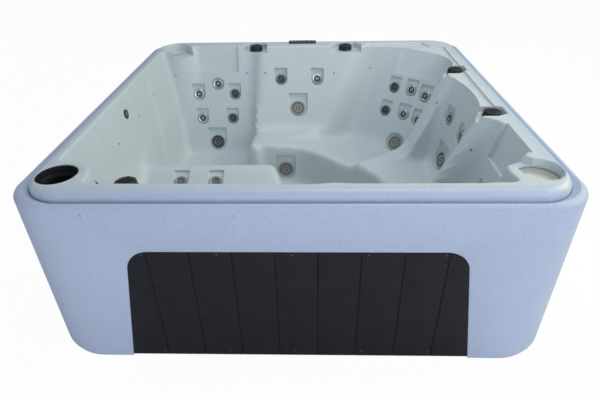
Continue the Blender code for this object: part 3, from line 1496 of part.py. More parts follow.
def make_cartridge():
    """Pleated filter cartridge with round end caps and a grip, open down the middle."""
    low = CARTRIDGE_LOW
    high = CARTRIDGE_HIGH
    profile = (
        (CARTRIDGE_BORE, low),
        (CARTRIDGE_RADIUS, low),
        (CARTRIDGE_RADIUS, low + CARTRIDGE_CAP),
        (CARTRIDGE_RADIUS, low + CARTRIDGE_CAP),
        (CARTRIDGE_RADIUS, high - CARTRIDGE_CAP),
        (CARTRIDGE_RADIUS, high - CARTRIDGE_CAP),
        (CARTRIDGE_RADIUS, high),
        (CARTRIDGE_GRIP_RADIUS, high),
        (CARTRIDGE_GRIP_RADIUS, high + CARTRIDGE_GRIP_HEIGHT),
        (CARTRIDGE_BORE, high + CARTRIDGE_GRIP_HEIGHT),
    )
    heights = [height for _, height in profile]
    heights[3] += CARTRIDGE_PLEAT_RUN
    heights[4] -= CARTRIDGE_PLEAT_RUN
    profile = [(radius, height) for (radius, _), height in zip(profile, heights)]
    mesh = turned(profile, CARTRIDGE_SEGMENTS, ring=True, grip=CARTRIDGE_PLEAT_SHARE, grips=(3, 4))
    return dressed(solid("filter_cartridge", mesh, upright(*FILTER_CENTRE, 0.0)), "paper")


def weir_place():
    """Place of the weir's hinge on the spout's sill: its own Y axis is the hinge."""
    sill = SPOUT_LOW + SPOUT_WALL + WEIR_BARREL_RADIUS + RUNNING_GAP
    return facing_place(*FILTER_CENTRE, sill, SPOUT_FACING) @ Matrix.Translation((WEIR_AXIS_REACH, 0.0, 0.0))


def make_weir():
    """Floating weir flap on its hinge barrel."""
    half = WEIR_THICK / 2.0
    flap = box((-half, -WEIR_HALF, 0.0), (half, WEIR_HALF, WEIR_HEIGHT))
    weir = solid("filter_weir", flap)
    ends = ((0.0, -WEIR_HALF, 0.0), (0.0, WEIR_HALF, 0.0))
    combine(weir, [solid("barrel", rod(*ends, WEIR_BARREL_RADIUS, WEIR_BARREL_SEGMENTS))], "UNION")
    weir.matrix_world = weir_place()
    return dressed(weir, "black")


def make_bowl():
    """Thin steel bowl with a rolled flange, resting in the front right corner well."""
    floor = RIM_HEIGHT - WELL_DEPTH + SEAT_GAP
    top = floor + BOWL_ROLL
    outside = [(BOWL_FLANGE_RADIUS, floor), (BOWL_FLANGE_RADIUS, top)]
    inside = [(radius - BOWL_STEEL, top - depth) for radius, depth in BOWL_PROFILE]
    back = [(radius, floor - depth) for radius, depth in BOWL_PROFILE]
    profile = outside + inside + back[::-1]
    mesh = turned_bowl(profile, len(outside) + len(inside))
    return dressed(solid("steel_bowl", mesh, upright(*BOWL_CENTRE, 0.0)), "steel", 1.0, 0.2)


def turned_bowl(profile, inside_count):
    """Turned mesh of a bowl: the profile runs in over the flange, down inside and back up outside."""
    mesh = turned(profile, WELL_SEGMENTS, ring=True)
    rows = list(mesh.verts)
    first = rows[(inside_count - 1) * WELL_SEGMENTS : inside_count * WELL_SEGMENTS]
    second = rows[inside_count * WELL_SEGMENTS : (inside_count + 1) * WELL_SEGMENTS]
    between = [face for face in mesh.faces if all(vert in first or vert in second for vert in face.verts)]
    bmesh.ops.delete(mesh, geom=between, context="FACES_ONLY")
    mesh.faces.new(first)
    mesh.faces.new(second)
    return mesh


def make_light():
    """Wall light with its domed lens, seated in the left wall."""
    profile = (
        (LIGHT_BODY_RADIUS, SEAT_GAP - LIGHT_BODY_LENGTH),
        (LIGHT_BODY_RADIUS, SEAT_GAP),
        (LIGHT_FLANGE_RADIUS, SEAT_GAP),
        (LIGHT_FLANGE_RADIUS, SEAT_GAP + LIGHT_FLANGE_THICK),
        (LIGHT_LENS_RADIUS, SEAT_GAP + LIGHT_FLANGE_THICK),
        (LIGHT_LENS_RADIUS / 2.0, SEAT_GAP + LIGHT_FLANGE_THICK + LIGHT_LENS_DOME),
    )
    place = sunk(wall_place(LIGHT_POINT), SEAT_CUT_DEPTH)
    return dressed(solid("wall_light", turned(profile, LIGHT_SEGMENTS), place), "lens")


def suction_place(name):
    """Place of one suction cover on its seat."""
    return sunk(wall_place(SUCTION_POINTS[name]), SEAT_CUT_DEPTH)


def make_suction_covers():
    """Domed suction covers with slots into a hollow and a bored neck behind."""
    base = SEAT_GAP
    top = base + SUCTION_EDGE + SUCTION_DOME_HEIGHT
    outer = (
        (SUCTION_NECK_RADIUS, base - SUCTION_NECK_LENGTH),
        (SUCTION_NECK_RADIUS, base),
        (SUCTION_FLANGE_RADIUS, base),
        (SUCTION_FLANGE_RADIUS, base + SUCTION_EDGE),
        (SUCTION_DOME_RADIUS, base + SUCTION_EDGE + SUCTION_DOME_HEIGHT / 2.0),
        (SUCTION_DOME_RADIUS / 2.0, top),
    )
    hollow = (
        (SUCTION_BORE, base - SUCTION_NECK_LENGTH - CUT_OVERRUN),
        (SUCTION_BORE, base + SUCTION_SHELL),
        (SUCTION_CAVITY, base + SUCTION_SHELL),
        (SUCTION_CAVITY, base + SUCTION_EDGE + SUCTION_DOME_HEIGHT / 2.0 - SUCTION_SHELL),
        (SUCTION_CAVITY / 2.0, top - SUCTION_SHELL),
    )
    for name in SUCTION_POINTS:
        cover = solid(name, turned(outer, SUCTION_SEGMENTS))
        cutters = [solid("cutter", turned(hollow, SUCTION_SEGMENTS))]
        for index in range(SUCTION_RIBS):
            x = (index - (SUCTION_RIBS - 1) / 2.0) * SUCTION_CAVITY / 2.0
            reach = math.sqrt(SUCTION_CAVITY**2 - x**2) - SUCTION_SHELL
            low = (x - SUCTION_SLOT_HALF, -reach, base + SUCTION_EDGE)
            high = (x + SUCTION_SLOT_HALF, reach, top + CUT_OVERRUN)
            cutters.append(solid("cutter", box(low, high)))
        combine(cover, cutters, "DIFFERENCE")
        cover.matrix_world = suction_place(name)
        dressed(cover, "pipe")


def make_suction_pipe():
    """Suction pipe from the filter bucket and both suction covers to the pump's inlet."""
    y = PUMP_AXIS_Y
    z = PUMP_AXIS_Z
    filter_x, filter_y = FILTER_CENTRE
    end = (INLET_MOUTH_X + SOCKET_DEPTH - SEAT_GAP, y, z)
    route = (
        (filter_x, filter_y, BUCKET_BOTTOM - SEAT_GAP),
        (filter_x, filter_y, z),
        (SUCTION_TURN_X, filter_y, z),
        (SUCTION_TURN_X, y, z),
        end,
    )
    part = solid("suction_pipe", pipe(bent(route, PIPE_BEND), PIPE_RADIUS, PIPE_SEGMENTS))
    length = SUCTION_NECK_LENGTH + SUCTION_SHELL
    left = suction_place("suction_cover_left")
    right = suction_place("suction_cover_right")
    left_end = left @ Vector((0.0, 0.0, SOCKET_DEPTH - SUCTION_NECK_LENGTH))
    left_back = left @ Vector((0.0, 0.0, -length - SOCKET_DEPTH))
    right_end = right @ Vector((0.0, 0.0, SOCKET_DEPTH - SUCTION_NECK_LENGTH))
    right_back = right @ Vector((0.0, 0.0, -length - SOCKET_DEPTH))
    run_z = (left_back.z + right_back.z) / 2.0
    branch = (
        (SUCTION_TURN_X, y - PIPE_RADIUS, z),
        (SUCTION_TURN_X, SUCTION_RUN_Y, z),
        (left_back.x, SUCTION_RUN_Y, run_z),
        (right_back.x + PIPE_RADIUS, SUCTION_RUN_Y, run_z),
        (right_back.x + PIPE_RADIUS, right_back.y, run_z),
    )
    pieces = [solid("branch", pipe(bent(branch, PIPE_BEND), PIPE_RADIUS, PIPE_SEGMENTS))]
    for near, far in ((left_end, branch[2]), (right_end, branch[4])):
        pieces.append(solid("stub", rod(near, far, PIPE_RADIUS, PIPE_SEGMENTS)))
    combine(part, pieces, "UNION")
    bore = BUCKET_NOZZLE_RADIUS + PIPE_FIT
    cutters = [round_cutter(FILTER_CENTRE, bore, BUCKET_NOZZLE_END - SEAT_GAP, BUCKET_BOTTOM, WELL_SEGMENTS)]
    for name in SUCTION_POINTS:
        profile = (
            (SUCTION_NECK_RADIUS + PIPE_FIT, -SUCTION_NECK_LENGTH),
            (SUCTION_NECK_RADIUS + PIPE_FIT, CUT_OVERRUN - SUCTION_NECK_LENGTH + SOCKET_DEPTH),
        )
        cutters.append(solid("cutter", turned(profile, SUCTION_SEGMENTS), suction_place(name)))
    combine(part, cutters, "DIFFERENCE")
    return dressed(part, "pipe")


def make_return_pipe():
    """Return pipe from the pump past the heater and round two sides, with a socket for each riser."""
    y = PUMP_AXIS_Y
    pump_x = (VOLUTE_START_X + VOLUTE_END_X) / 2.0
    edge = RETURN_EDGE
    route = (
        (pump_x, y, OUTLET_TOP_Z - SOCKET_DEPTH + SEAT_GAP),
        (pump_x, y, OUTLET_TOP_Z + PIPE_BEND + OUTLET_CLEARANCE),
        (pump_x, HEATER_Y, HEATER_Z),
        (RETURN_DROP_X, HEATER_Y, HEATER_Z),
        (RETURN_LOW_X, HEATER_Y, RETURN_Z),
        (edge, HEATER_Y, RETURN_Z),
        (edge, edge, RETURN_Z),
        (RETURN_END_X, edge, RETURN_Z),
    )
    part = solid("return_pipe", pipe(bent(route, PIPE_BEND), PIPE_RADIUS, PIPE_SEGMENTS))
    bore = RISER_RADIUS + PIPE_FIT
    heater_end = (HEATER_END_X - SOCKET_DEPTH + SEAT_GAP, HEATER_Y, HEATER_Z)
    feed_end = (pump_x + PIPE_BEND, HEATER_Y, HEATER_Z)
    pieces = [solid("feed", rod(heater_end, feed_end, PIPE_RADIUS, PIPE_SEGMENTS))]
    cutters = []
    for circuit in CIRCUITS.values():
        foot = circuit["foot"]
        top = RETURN_Z + SOCKET_RISE
        socket = rod((*foot, RETURN_Z), (*foot, top), bore + SOCKET_WALL, RISER_SEGMENTS)
        pieces.append(solid("socket", socket))
        ends = ((*foot, top - SOCKET_DEPTH), (*foot, top + CUT_OVERRUN))
        cutters.append(solid("cutter", rod(*ends, bore, RISER_SEGMENTS)))
    combine(part, pieces, "UNION")
    combine(part, cutters, "DIFFERENCE")
    return dressed(part, "pipe")


def make_wet_end():
    """Pump wet end: bored volute with an inlet socket in front and an outlet socket on top."""
    bore = PIPE_RADIUS + PIPE_FIT
    mouth = INLET_MOUTH_X
    start = VOLUTE_START_X
    end = VOLUTE_END_X
    cavity = VOLUTE_RADIUS - VOLUTE_WALL
    profile = (
        (bore, mouth),
        (bore, mouth + SOCKET_DEPTH),
        (VOLUTE_BORE, mouth + SOCKET_DEPTH),
        (VOLUTE_BORE, start + VOLUTE_WALL),
        (cavity, start + VOLUTE_WALL),
        (cavity, end - VOLUTE_WALL),
        (SHAFT_HOLE_RADIUS, end - VOLUTE_WALL),
        (SHAFT_HOLE_RADIUS, end),
        (VOLUTE_RADIUS - VOLUTE_ROUND, end),
        (VOLUTE_RADIUS, end - VOLUTE_ROUND),
        (VOLUTE_RADIUS, start + VOLUTE_ROUND),
        (VOLUTE_RADIUS - VOLUTE_ROUND, start),
        (bore + SOCKET_WALL, start),
        (bore + SOCKET_WALL, mouth),
    )
    place = along_x(0.0, PUMP_AXIS_Y, PUMP_AXIS_Z)
    part = solid("pump_wet_end", turned(profile, VOLUTE_SEGMENTS, ring=True), place)
    x = (start + end) / 2.0
    y = PUMP_AXIS_Y
    low = PUMP_AXIS_Z + cavity + VOLUTE_WALL / 2.0
    top = OUTLET_TOP_Z
    neck = rod((x, y, low), (x, y, top), bore + SOCKET_WALL, PIPE_SEGMENTS)
    throat = rod((x, y, PUMP_AXIS_Z + IMPELLER_RADIUS), (x, y, top), VOLUTE_BORE / 2.0, PIPE_SEGMENTS)
    socket = rod((x, y, top - SOCKET_DEPTH), (x, y, top + CUT_OVERRUN), bore, PIPE_SEGMENTS)
    combine(part, [solid("neck", neck)], "UNION")
    combine(part, [solid("throat", throat), solid("socket", socket)], "DIFFERENCE")
    return dressed(part, "black")


def vane_outline():
    """Outline of the impeller's hub with its swept vanes."""
    outline = []
    sweep = math.radians(IMPELLER_SWEEP)
    hub_half = IMPELLER_VANE_THICK / IMPELLER_HUB_RADIUS / 2.0
    tip_half = IMPELLER_VANE_THICK / IMPELLER_RADIUS / 2.0
    for index in range(IMPELLER_VANES):
        angle = 2.0 * math.pi * index / IMPELLER_VANES
        for radius, turn in (
            (IMPELLER_HUB_RADIUS, angle - hub_half),
            (IMPELLER_RADIUS, angle + sweep - tip_half),
            (IMPELLER_RADIUS, angle + sweep + tip_half),
            (IMPELLER_HUB_RADIUS, angle + hub_half),
        ):
            outline.append((math.cos(turn) * radius, math.sin(turn) * radius))
    return outline


def make_impeller():
    """Impeller with swept vanes on a disc, and the shaft that runs back into the motor."""
    back = VOLUTE_END_X - VOLUTE_WALL - RUNNING_GAP
    disc_front = back - IMPELLER_DISC
    shaft_end = MOTOR_START_X + MOTOR_SHAFT_DEPTH / 2.0
    profile = (
        (IMPELLER_RADIUS, disc_front),
        (IMPELLER_RADIUS, back),
        (SHAFT_RADIUS, back),
        (SHAFT_RADIUS, shaft_end),
    )
    part = solid("pump_impeller", turned(profile, VOLUTE_SEGMENTS))
    vanes = prism(vane_outline(), disc_front - IMPELLER_VANE_DEPTH, disc_front + IMPELLER_DISC / 2.0)
    combine(part, [solid("vanes", vanes)], "UNION")
    part.matrix_world = along_x(0.0, PUMP_AXIS_Y, PUMP_AXIS_Z)
    return dressed(part, "black")


def make_motor():
    """Finned pump motor on its foot, bored for the impeller's shaft."""
    start = MOTOR_START_X
    end = MOTOR_END_X
    profile = (
        (MOTOR_SHAFT_HOLE, start + MOTOR_SHAFT_DEPTH),
        (MOTOR_SHAFT_HOLE, start),
        (MOTOR_FACE_RADIUS, start),
        (MOTOR_FACE_RADIUS, start + MOTOR_FACE),
        (MOTOR_RADIUS, start + MOTOR_FACE),
        (MOTOR_RADIUS, end - MOTOR_COVER),
        (MOTOR_RADIUS, end - MOTOR_COVER + MOTOR_FACE / 2.0),
        (MOTOR_RADIUS, end - MOTOR_FACE),
        (MOTOR_FACE_RADIUS, end),
    )
    mesh = turned(profile, MOTOR_SEGMENTS, grip=MOTOR_FIN_SHARE, grips=(4, 5))
    part = solid("pump_motor", mesh, along_x(0.0, PUMP_AXIS_Y, PUMP_AXIS_Z))
    floor = FLANGE_THICK + SEAT_GAP + PAN_THICK + SEAT_GAP
    low = (MOTOR_FOOT_START_X, PUMP_AXIS_Y - MOTOR_FOOT_HALF, floor)
    foot = box(low, (MOTOR_FOOT_END_X, PUMP_AXIS_Y + MOTOR_FOOT_HALF, MOTOR_FOOT_TOP))
    combine(part, [solid("foot", foot)], "UNION")
    return dressed(part, "motor")


def make_heater():
    """Tube heater with end flanges bored for its pipes and a terminal box on top."""
    start = HEATER_START_X
    end = HEATER_END_X
    small = RISER_RADIUS + PIPE_FIT
    large = PIPE_RADIUS + PIPE_FIT
    through = VOLUTE_BORE / 2.0
    profile = (
        (small, start),
        (small, start + SOCKET_DEPTH),
        (through, start + SOCKET_DEPTH),
        (through, end - SOCKET_DEPTH),
        (large, end - SOCKET_DEPTH),
        (large, end),
        (HEATER_FLANGE_RADIUS, end),
        (HEATER_FLANGE_RADIUS, end - HEATER_FLANGE),
        (HEATER_RADIUS, end - HEATER_FLANGE),
        (HEATER_RADIUS, start + HEATER_FLANGE),
        (HEATER_FLANGE_RADIUS, start + HEATER_FLANGE),
        (HEATER_FLANGE_RADIUS, start),
    )
    place = along_x(0.0, HEATER_Y, HEATER_Z)
    part = solid("heater", turned(profile, HEATER_SEGMENTS, ring=True), place)
    middle = (start + end) / 2.0
    seat = HEATER_Z + HEATER_RADIUS * HEATER_BOX_SEAT_SHARE
    low = (middle - HEATER_BOX_HALF, HEATER_Y - HEATER_BOX_WIDTH, seat)
    high = (middle + HEATER_BOX_HALF, HEATER_Y + HEATER_BOX_WIDTH, HEATER_Z + HEATER_BOX_HEIGHT)
    terminal = box(low, high)
    combine(part, [solid("terminal", terminal)], "UNION")
    return dressed(part, "steel", 0.9, 0.35)


def make_control_box():
    """Control box standing behind the access panel, with a bored gland for the supply."""
    floor = FLANGE_THICK + SEAT_GAP + PAN_THICK + SEAT_GAP
    corners = ((BOX_START_X, floor), (BOX_END_X, floor), (BOX_END_X, BOX_TOP_Z), (BOX_START_X, BOX_TOP_Z))
    outline = rounded_outline(corners, BOX_ROUND, BOX_ROUND_STEPS)
    near = [(x, BOX_FRONT_Y, z) for x, z in outline]
    far = [(x, BOX_REAR_Y, z) for x, z in outline]
    part = solid("control_box", loops_mesh([near, far], False))
    place = along_x(BOX_END_X, (BOX_FRONT_Y + BOX_REAR_Y) / 2.0, GLAND_Z)
    outer = turned(((GLAND_RADIUS, -JOIN_OVERLAP), (GLAND_RADIUS, GLAND_LENGTH)), GLAND_SEGMENTS)
    bore = turned(((GLAND_BORE, -JOIN_OVERLAP), (GLAND_BORE, GLAND_LENGTH + CUT_OVERRUN)), GLAND_SEGMENTS)
    combine(part, [solid("gland", outer, place)], "UNION")
    combine(part, [solid("bore", bore, place)], "DIFFERENCE")
    return dressed(part, "motor")


def drain_place():
    """Place of the drain fitting on its seat."""
    return sunk(wall_place(DRAIN_POINT), SEAT_CUT_DEPTH)


def drain_end():
    """Outer end of the drain line's spout."""
    back = drain_place() @ Vector((0.0, 0.0, -DRAIN_NECK_LENGTH))
    return Vector((back.x, OUTER_HALF - DRAIN_CAP_THICK - SEAT_GAP, DRAIN_RUN_Z))


def make_drain_line():
    """Drain line: bored fitting in the footwell wall, run along the floor and the spout at the rear."""
    place = drain_place()
    start = place @ Vector((0.0, 0.0, SEAT_GAP + DRAIN_FLANGE_THICK / 2.0))
    back = place @ Vector((0.0, 0.0, -DRAIN_NECK_LENGTH))
    end = drain_end()
    route = (start, back, (back.x, DRAIN_TURN_Y, DRAIN_RUN_Z), (end.x, end.y, DRAIN_RUN_Z))
    part = solid("drain_line", pipe(route, DRAIN_NECK_RADIUS, DRAIN_SEGMENTS))
    flange_profile = ((DRAIN_FLANGE_RADIUS, SEAT_GAP), (DRAIN_FLANGE_RADIUS, SEAT_GAP + DRAIN_FLANGE_THICK))
    flange = solid("flange", turned(flange_profile, DRAIN_SEGMENTS), place)
    spout_start = (end.x, end.y - DRAIN_SPOUT_LENGTH, DRAIN_RUN_Z)
    spout = solid("spout", rod(spout_start, end, DRAIN_SPOUT_RADIUS, DRAIN_SEGMENTS))
    bore_profile = ((DRAIN_BORE, -DRAIN_FLANGE_RADIUS), (DRAIN_BORE, CUT_OVERRUN))
    bore = solid("bore", turned(bore_profile, DRAIN_SEGMENTS), place)
    mouth_ends = [(end.x, end.y + along, DRAIN_RUN_Z) for along in (-DRAIN_FLANGE_RADIUS, CUT_OVERRUN)]
    mouth = solid("mouth", rod(*mouth_ends, DRAIN_BORE, DRAIN_SEGMENTS))
    combine(part, [flange, spout], "UNION")
    combine(part, [bore, mouth], "DIFFERENCE")
    return dressed(part, "pipe")


def make_drain_cap():
    """Drain cap: a cup with finger grips that turns on the drain line's spout."""
    depth = DRAIN_CAP_THICK - DRAIN_SPOUT_LENGTH
    profile = (
        (DRAIN_CAP_BORE, 0.0),
        (DRAIN_CAP_BORE, depth),
        (DRAIN_CAP_RADIUS, depth),
        (DRAIN_CAP_RADIUS, DRAIN_CAP_THICK),
    )
    end = drain_end()
    turn = Matrix(((1.0, 0.0, 0.0), (0.0, 0.0, 1.0), (0.0, -1.0, 0.0))).to_4x4()
    place = Matrix.Translation((end.x, end.y + SEAT_GAP, end.z)) @ turn
    mesh = turned(profile, DRAIN_SEGMENTS, grip=DRAIN_CAP_GRIP_SHARE, grips=(2, 3))
    return dressed(solid("drain_cap", mesh, place), "black")


def button_places():
    """Places of the four buttons on the controls' face."""
    x, y = TOPSIDE_CENTRE
    top = RIM_HEIGHT + SEAT_GAP + TOPSIDE_THICK
    return [upright(x + offset, y, top) for offset in BUTTON_OFFSETS]


def make_topside():
    """Controls housing: bezel on the rim, body in the slot, blind button holes and the display's recess."""
    low = RIM_HEIGHT + SEAT_GAP
    top = low + TOPSIDE_THICK
    outline = rounded_outline(rectangle(*TOPSIDE_HALF, TOPSIDE_CENTRE), TOPSIDE_ROUND, ROUND_STEPS)
    part = solid("topside_housing", prism(outline, low, top))
    body = rectangle(*TOPSIDE_BODY_HALF, (TOPSIDE_CENTRE[0], TOPSIDE_BODY_Y))
    combine(part, [solid("body", prism(body, top - TOPSIDE_BODY_DEPTH, low + TOPSIDE_THICK / 2.0))], "UNION")
    window = rounded_outline(rectangle(*DISPLAY_HALF, TOPSIDE_CENTRE), DISPLAY_ROUND, ROUND_STEPS)
    cutters = [solid("cutter", prism(window, top - DISPLAY_DEPTH, top + CUT_OVERRUN))]
    for place in button_places():
        hole = BUTTON_RADIUS + BUTTON_GAP
        profile = ((hole, -BUTTON_DEPTH), (hole, CUT_OVERRUN))
        cutters.append(solid("cutter", turned(profile, BUTTON_SEGMENTS), place))
    combine(part, cutters, "DIFFERENCE")
    return dressed(part, "panel")


def make_display():
    """Display window in its recess."""
    low = RIM_HEIGHT + SEAT_GAP + TOPSIDE_THICK - DISPLAY_DEPTH + SEAT_GAP
    half = [side - BUTTON_GAP for side in DISPLAY_HALF]
    outline = rounded_outline(rectangle(*half, TOPSIDE_CENTRE), DISPLAY_ROUND, ROUND_STEPS)
    part = solid("topside_display", prism(outline, low, low + DISPLAY_DEPTH + DISPLAY_PROUD))
    return dressed(part, "lens", 0.0, 0.1)


def make_buttons():
    """Four push buttons that stand a little proud of the controls' face."""
    profile = (
        (BUTTON_RADIUS, BUTTON_TRAVEL + RUNNING_GAP - BUTTON_DEPTH),
        (BUTTON_RADIUS, BUTTON_PROUD - BUTTON_CHAMFER),
        (BUTTON_RADIUS - BUTTON_CHAMFER, BUTTON_PROUD),
    )
    for index, place in enumerate(button_places()):
        dressed(solid(f"button_{index + 1}", turned(profile, BUTTON_SEGMENTS), place), "pipe")


def main():
    """Builds the whole tub."""
    clear_scene()
    make_shell()
    make_skirt()
    make_panel()
    make_base()
    make_jets()
    make_knobs()
    make_plumbing()
    make_calf_plumbing()
    make_bucket()
    make_cartridge()
    make_weir()
    make_bowl()
    make_light()
    make_suction_covers()
    make_suction_pipe()
    make_return_pipe()
    make_wet_end()
    make_impeller()
    make_motor()
    make_heater()
    make_control_box()
    make_drain_line()
    make_drain_cap()
    make_topside()
    make_display()
    make_buttons()


main()
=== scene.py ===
"""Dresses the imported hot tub: fine moulded shell, cabinet, jets, knobs and fittings, their finishes, and the stage.

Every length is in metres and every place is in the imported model's own frame: Z up, the access panel facing -Y.
"""

import json
import math
from collections import namedtuple

import bmesh
import bpy
import numpy as np
from bpy.props import FloatProperty, FloatVectorProperty, IntProperty, PointerProperty
from mathutils import Matrix, Vector


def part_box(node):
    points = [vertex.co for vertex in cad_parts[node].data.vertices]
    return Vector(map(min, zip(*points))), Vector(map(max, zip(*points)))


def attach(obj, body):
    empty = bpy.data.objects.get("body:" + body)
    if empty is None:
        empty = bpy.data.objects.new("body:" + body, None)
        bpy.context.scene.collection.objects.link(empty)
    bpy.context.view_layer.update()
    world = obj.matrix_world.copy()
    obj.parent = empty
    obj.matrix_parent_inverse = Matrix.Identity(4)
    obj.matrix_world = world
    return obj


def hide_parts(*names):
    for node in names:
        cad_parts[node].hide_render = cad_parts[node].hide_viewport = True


bl_info = {
    "name": "Hot tub dresser",
    "version": (1, 0, 0),
    "blender": (4, 5, 0),
    "location": "View3D > Sidebar > Hot tub",
    "description": "Builds the visible pieces and finishes of a moulded hot tub round its packed frame",
    "category": "Object",
}

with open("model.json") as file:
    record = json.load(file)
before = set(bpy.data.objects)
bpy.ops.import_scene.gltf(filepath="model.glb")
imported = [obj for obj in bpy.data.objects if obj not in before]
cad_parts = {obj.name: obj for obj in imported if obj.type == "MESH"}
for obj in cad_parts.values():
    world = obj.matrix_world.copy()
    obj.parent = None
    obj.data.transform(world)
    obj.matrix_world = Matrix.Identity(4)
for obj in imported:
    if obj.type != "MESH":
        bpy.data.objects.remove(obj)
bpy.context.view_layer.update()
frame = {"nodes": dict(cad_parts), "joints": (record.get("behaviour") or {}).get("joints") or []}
NODES = frame["nodes"]
JOINTS = {joint["child"]: joint for joint in frame["joints"]}
JETS = tuple(name for name in NODES if name.startswith("jet_"))
BUTTONS = tuple(f"button_{index}" for index in range(1, 5))

# Overall heights and the mould's fits
TUB = "tub"
OUTER_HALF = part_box("cabinet_skirt")[1].x
RIM_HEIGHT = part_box("tub_shell")[1].z
LEDGE_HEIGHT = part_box("cabinet_skirt")[1].z
RIM_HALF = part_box("tub_shell")[1].x
SEAT_GAP = 0.0003
CUT_OVERRUN = 0.02
EPS_RISE = 0.0004
CUT_FOOT = 0.003
# Edges sharper than these angles, in degrees, stay sharp
SMOOTH = 35.0
SHELL_SMOOTH = 32.0
BOWL_SMOOTH = 50.0

# Moulded shell
RIM_CORNER_RADIUS = 0.15
RIM_DEPTH = 0.062
RIM_STEP_HALF = 0.925
RIM_FOOT_HALF = 0.960
RIM_FOOT_FILLET = 0.002
RIM_TOP_SHARES = (0.25, 0.5, 0.75)
# Painted shade on the rim's outer roll: between these distances from the middle planes the shell colour turns to the
# cooler, darker rim band colour.
RIM_PAINTED_SHADE = (RIM_HALF - 0.058, RIM_HALF - 0.012)
BASIN_WALL = 0.024
FLOOR_HEIGHT = 0.055
BASIN_CENTRE = (0.08, -0.06)
# Searches: nearest, farthest and number of steps. Spread: samples, gain and width of its bells.
LIP_SEARCH = (0.35, 1.5, 900)
HEIGHT_SEARCH = (-0.05, 0.95, 17)
RADIUS_SEARCH = (0.2, 2.0, 40)
SPREAD = (4000, 2.0, 0.10)
SPOKE_SAMPLES = 420
UNDER_RINGS = 34
RELAX_ROUNDS = 16
RELAX_SHARE = 0.5
LEAST_SLOPE = 0.2
LARGEST_MOVE = 0.004
GRADIENT_STEP = 0.0005
WALL_SEARCH_STEPS = 8
PAN_RISE_LIMIT = 1.3

# Seats. A wall is (lip point, facing in degrees from +X, lean); a lean is the run into the basin for each
# metre of drop from the rim. A bow is how far a back curves in at half its width.
Seat = namedtuple("Seat", "back sides nose nose_height fall fillet reach bow half", defaults=(0.0, 1.0))
SEATS = (
    Seat(
        ((-0.02, 0.812), -90.0, 0.36),
        (((-0.42, 0.7), 0.0, 0.08), ((0.315, 0.7), 180.0, 0.1)),
        nose=0.53,
        nose_height=0.315,
        fall=0.085,
        fillet=0.09,
        reach=0.74,
        bow=0.015,
        half=0.28,
    ),
    Seat(
        ((0.7335, 0.707), -129.0, 0.44),
        (
            ((0.7, 0.82), -90.0, 0.05),
            ((0.867, 0.5), 180.0, 0.05),
            ((0.25, 0.7425), -58.3, 0.1),
            ((0.83, 0.385), 125.4, 0.1),
        ),
        nose=0.8,
        nose_height=0.3,
        fall=0.22,
        fillet=0.12,
        reach=0.97,
    ),
    Seat(
        ((0.848, -0.035), 180.0, 0.2),
        (((0.8, 0.225), -68.0, 0.06), ((0.8, -0.275), 101.0, 0.06)),
        nose=0.44,
        nose_height=0.33,
        fall=0.08,
        fillet=0.08,
        reach=0.62,
        bow=0.045,
        half=0.25,
    ),
    Seat(
        ((0.862, -0.58), 180.0, 0.24),
        (((0.8, -0.35), -98.5, 0.06), ((0.6, -0.878), 90.0, 0.14)),
        nose=0.44,
        nose_height=0.32,
        fall=0.05,
        fillet=0.08,
        reach=0.62,
    ),
    Seat(
        ((0.15, -0.878), 90.0, 0.16),
        (((-0.22, -0.7), 0.0, 0.14), ((0.66, -0.7), 180.0, 0.14)),
        nose=0.36,
        nose_height=0.37,
        fall=0.02,
        fillet=0.08,
        reach=0.55,
    ),
)
SIDE_FILLET = 0.055
LIMIT_LEAN = 0.16

# Lounge: the pan follows the lying body from seat to knee to foot
LOUNGE_SEAT_HEIGHT = 0.085
LOUNGE_SEAT_Y = 0.28
LOUNGE_KNEE_HEIGHT = 0.402
LOUNGE_KNEE_Y = -0.08
LOUNGE_FOOT_HEIGHT = 0.21
LOUNGE_THIGH_RISE = 0.88
LOUNGE_CALF_FALL = 0.56
LOUNGE_KNEE_ROUND = 0.07
LOUNGE_END_ROUND = 0.10
LOUNGE_SLOPE_SHARE = 0.85
LOUNGE_BACK_FILLET = 0.06
LOUNGE_BACK_WALLS = (
    ((-0.58, 0.842), -90.0, 0.32),
    ((-0.305, 0.8), 180.0, 0.06),
    ((-0.873, 0.0), 0.0, 0.07),
    ((-0.5, 0.12), 90.0, 0.16),
)
LOUNGE_LEG_WALLS = (
    ((-0.5, 0.35), -90.0, 0.12),
    ((0.06, 0.0), 180.0, 0.15),
    ((-0.873, 0.0), 0.0, 0.07),
    ((-0.5, -0.875), 90.0, 0.10),
)

# Open bowls over the seats and over the lounge, whose walls show as the dividers between the seats
SEAT_BOWL_WALLS = (
    ((0.0, 0.800), -90.0, 0.42),
    ((0.700, 0.667), -129.0, 0.50),
    ((0.800, 0.0), 180.0, 0.50),
    ((-0.28, 0.0), 0.0, 0.50),
    ((0.0, -0.878), 90.0, 0.30),
)
SEAT_BOWL_BED = 0.33
LOUNGE_BOWL_WALLS = (
    ((0.0, 0.800), -90.0, 0.42),
    ((0.10, 0.0), 180.0, 0.30),
    ((-0.895, 0.0), 0.0, 0.18),
    ((0.0, -0.878), 90.0, 0.30),
)
LOUNGE_BOWL_BED = 0.45
DIVIDER_ROUND = 0.055
RIDGE_ROUND = 0.030

# Footwell: each wall is given by a point at its foot and the way it faces
FOOTWELL_WALLS = (
    ((-0.13, 0.30), -90.0),
    ((0.0, 0.30), -135.7),
    ((0.40, -0.2), 180.0),
    ((-0.25, 0.30), 20.8),
    ((0.1, -0.50), 90.0),
)
RISER_LEAN = 0.10
FOOTWELL_FILLET = 0.06
NOSE_ROUND = 0.035

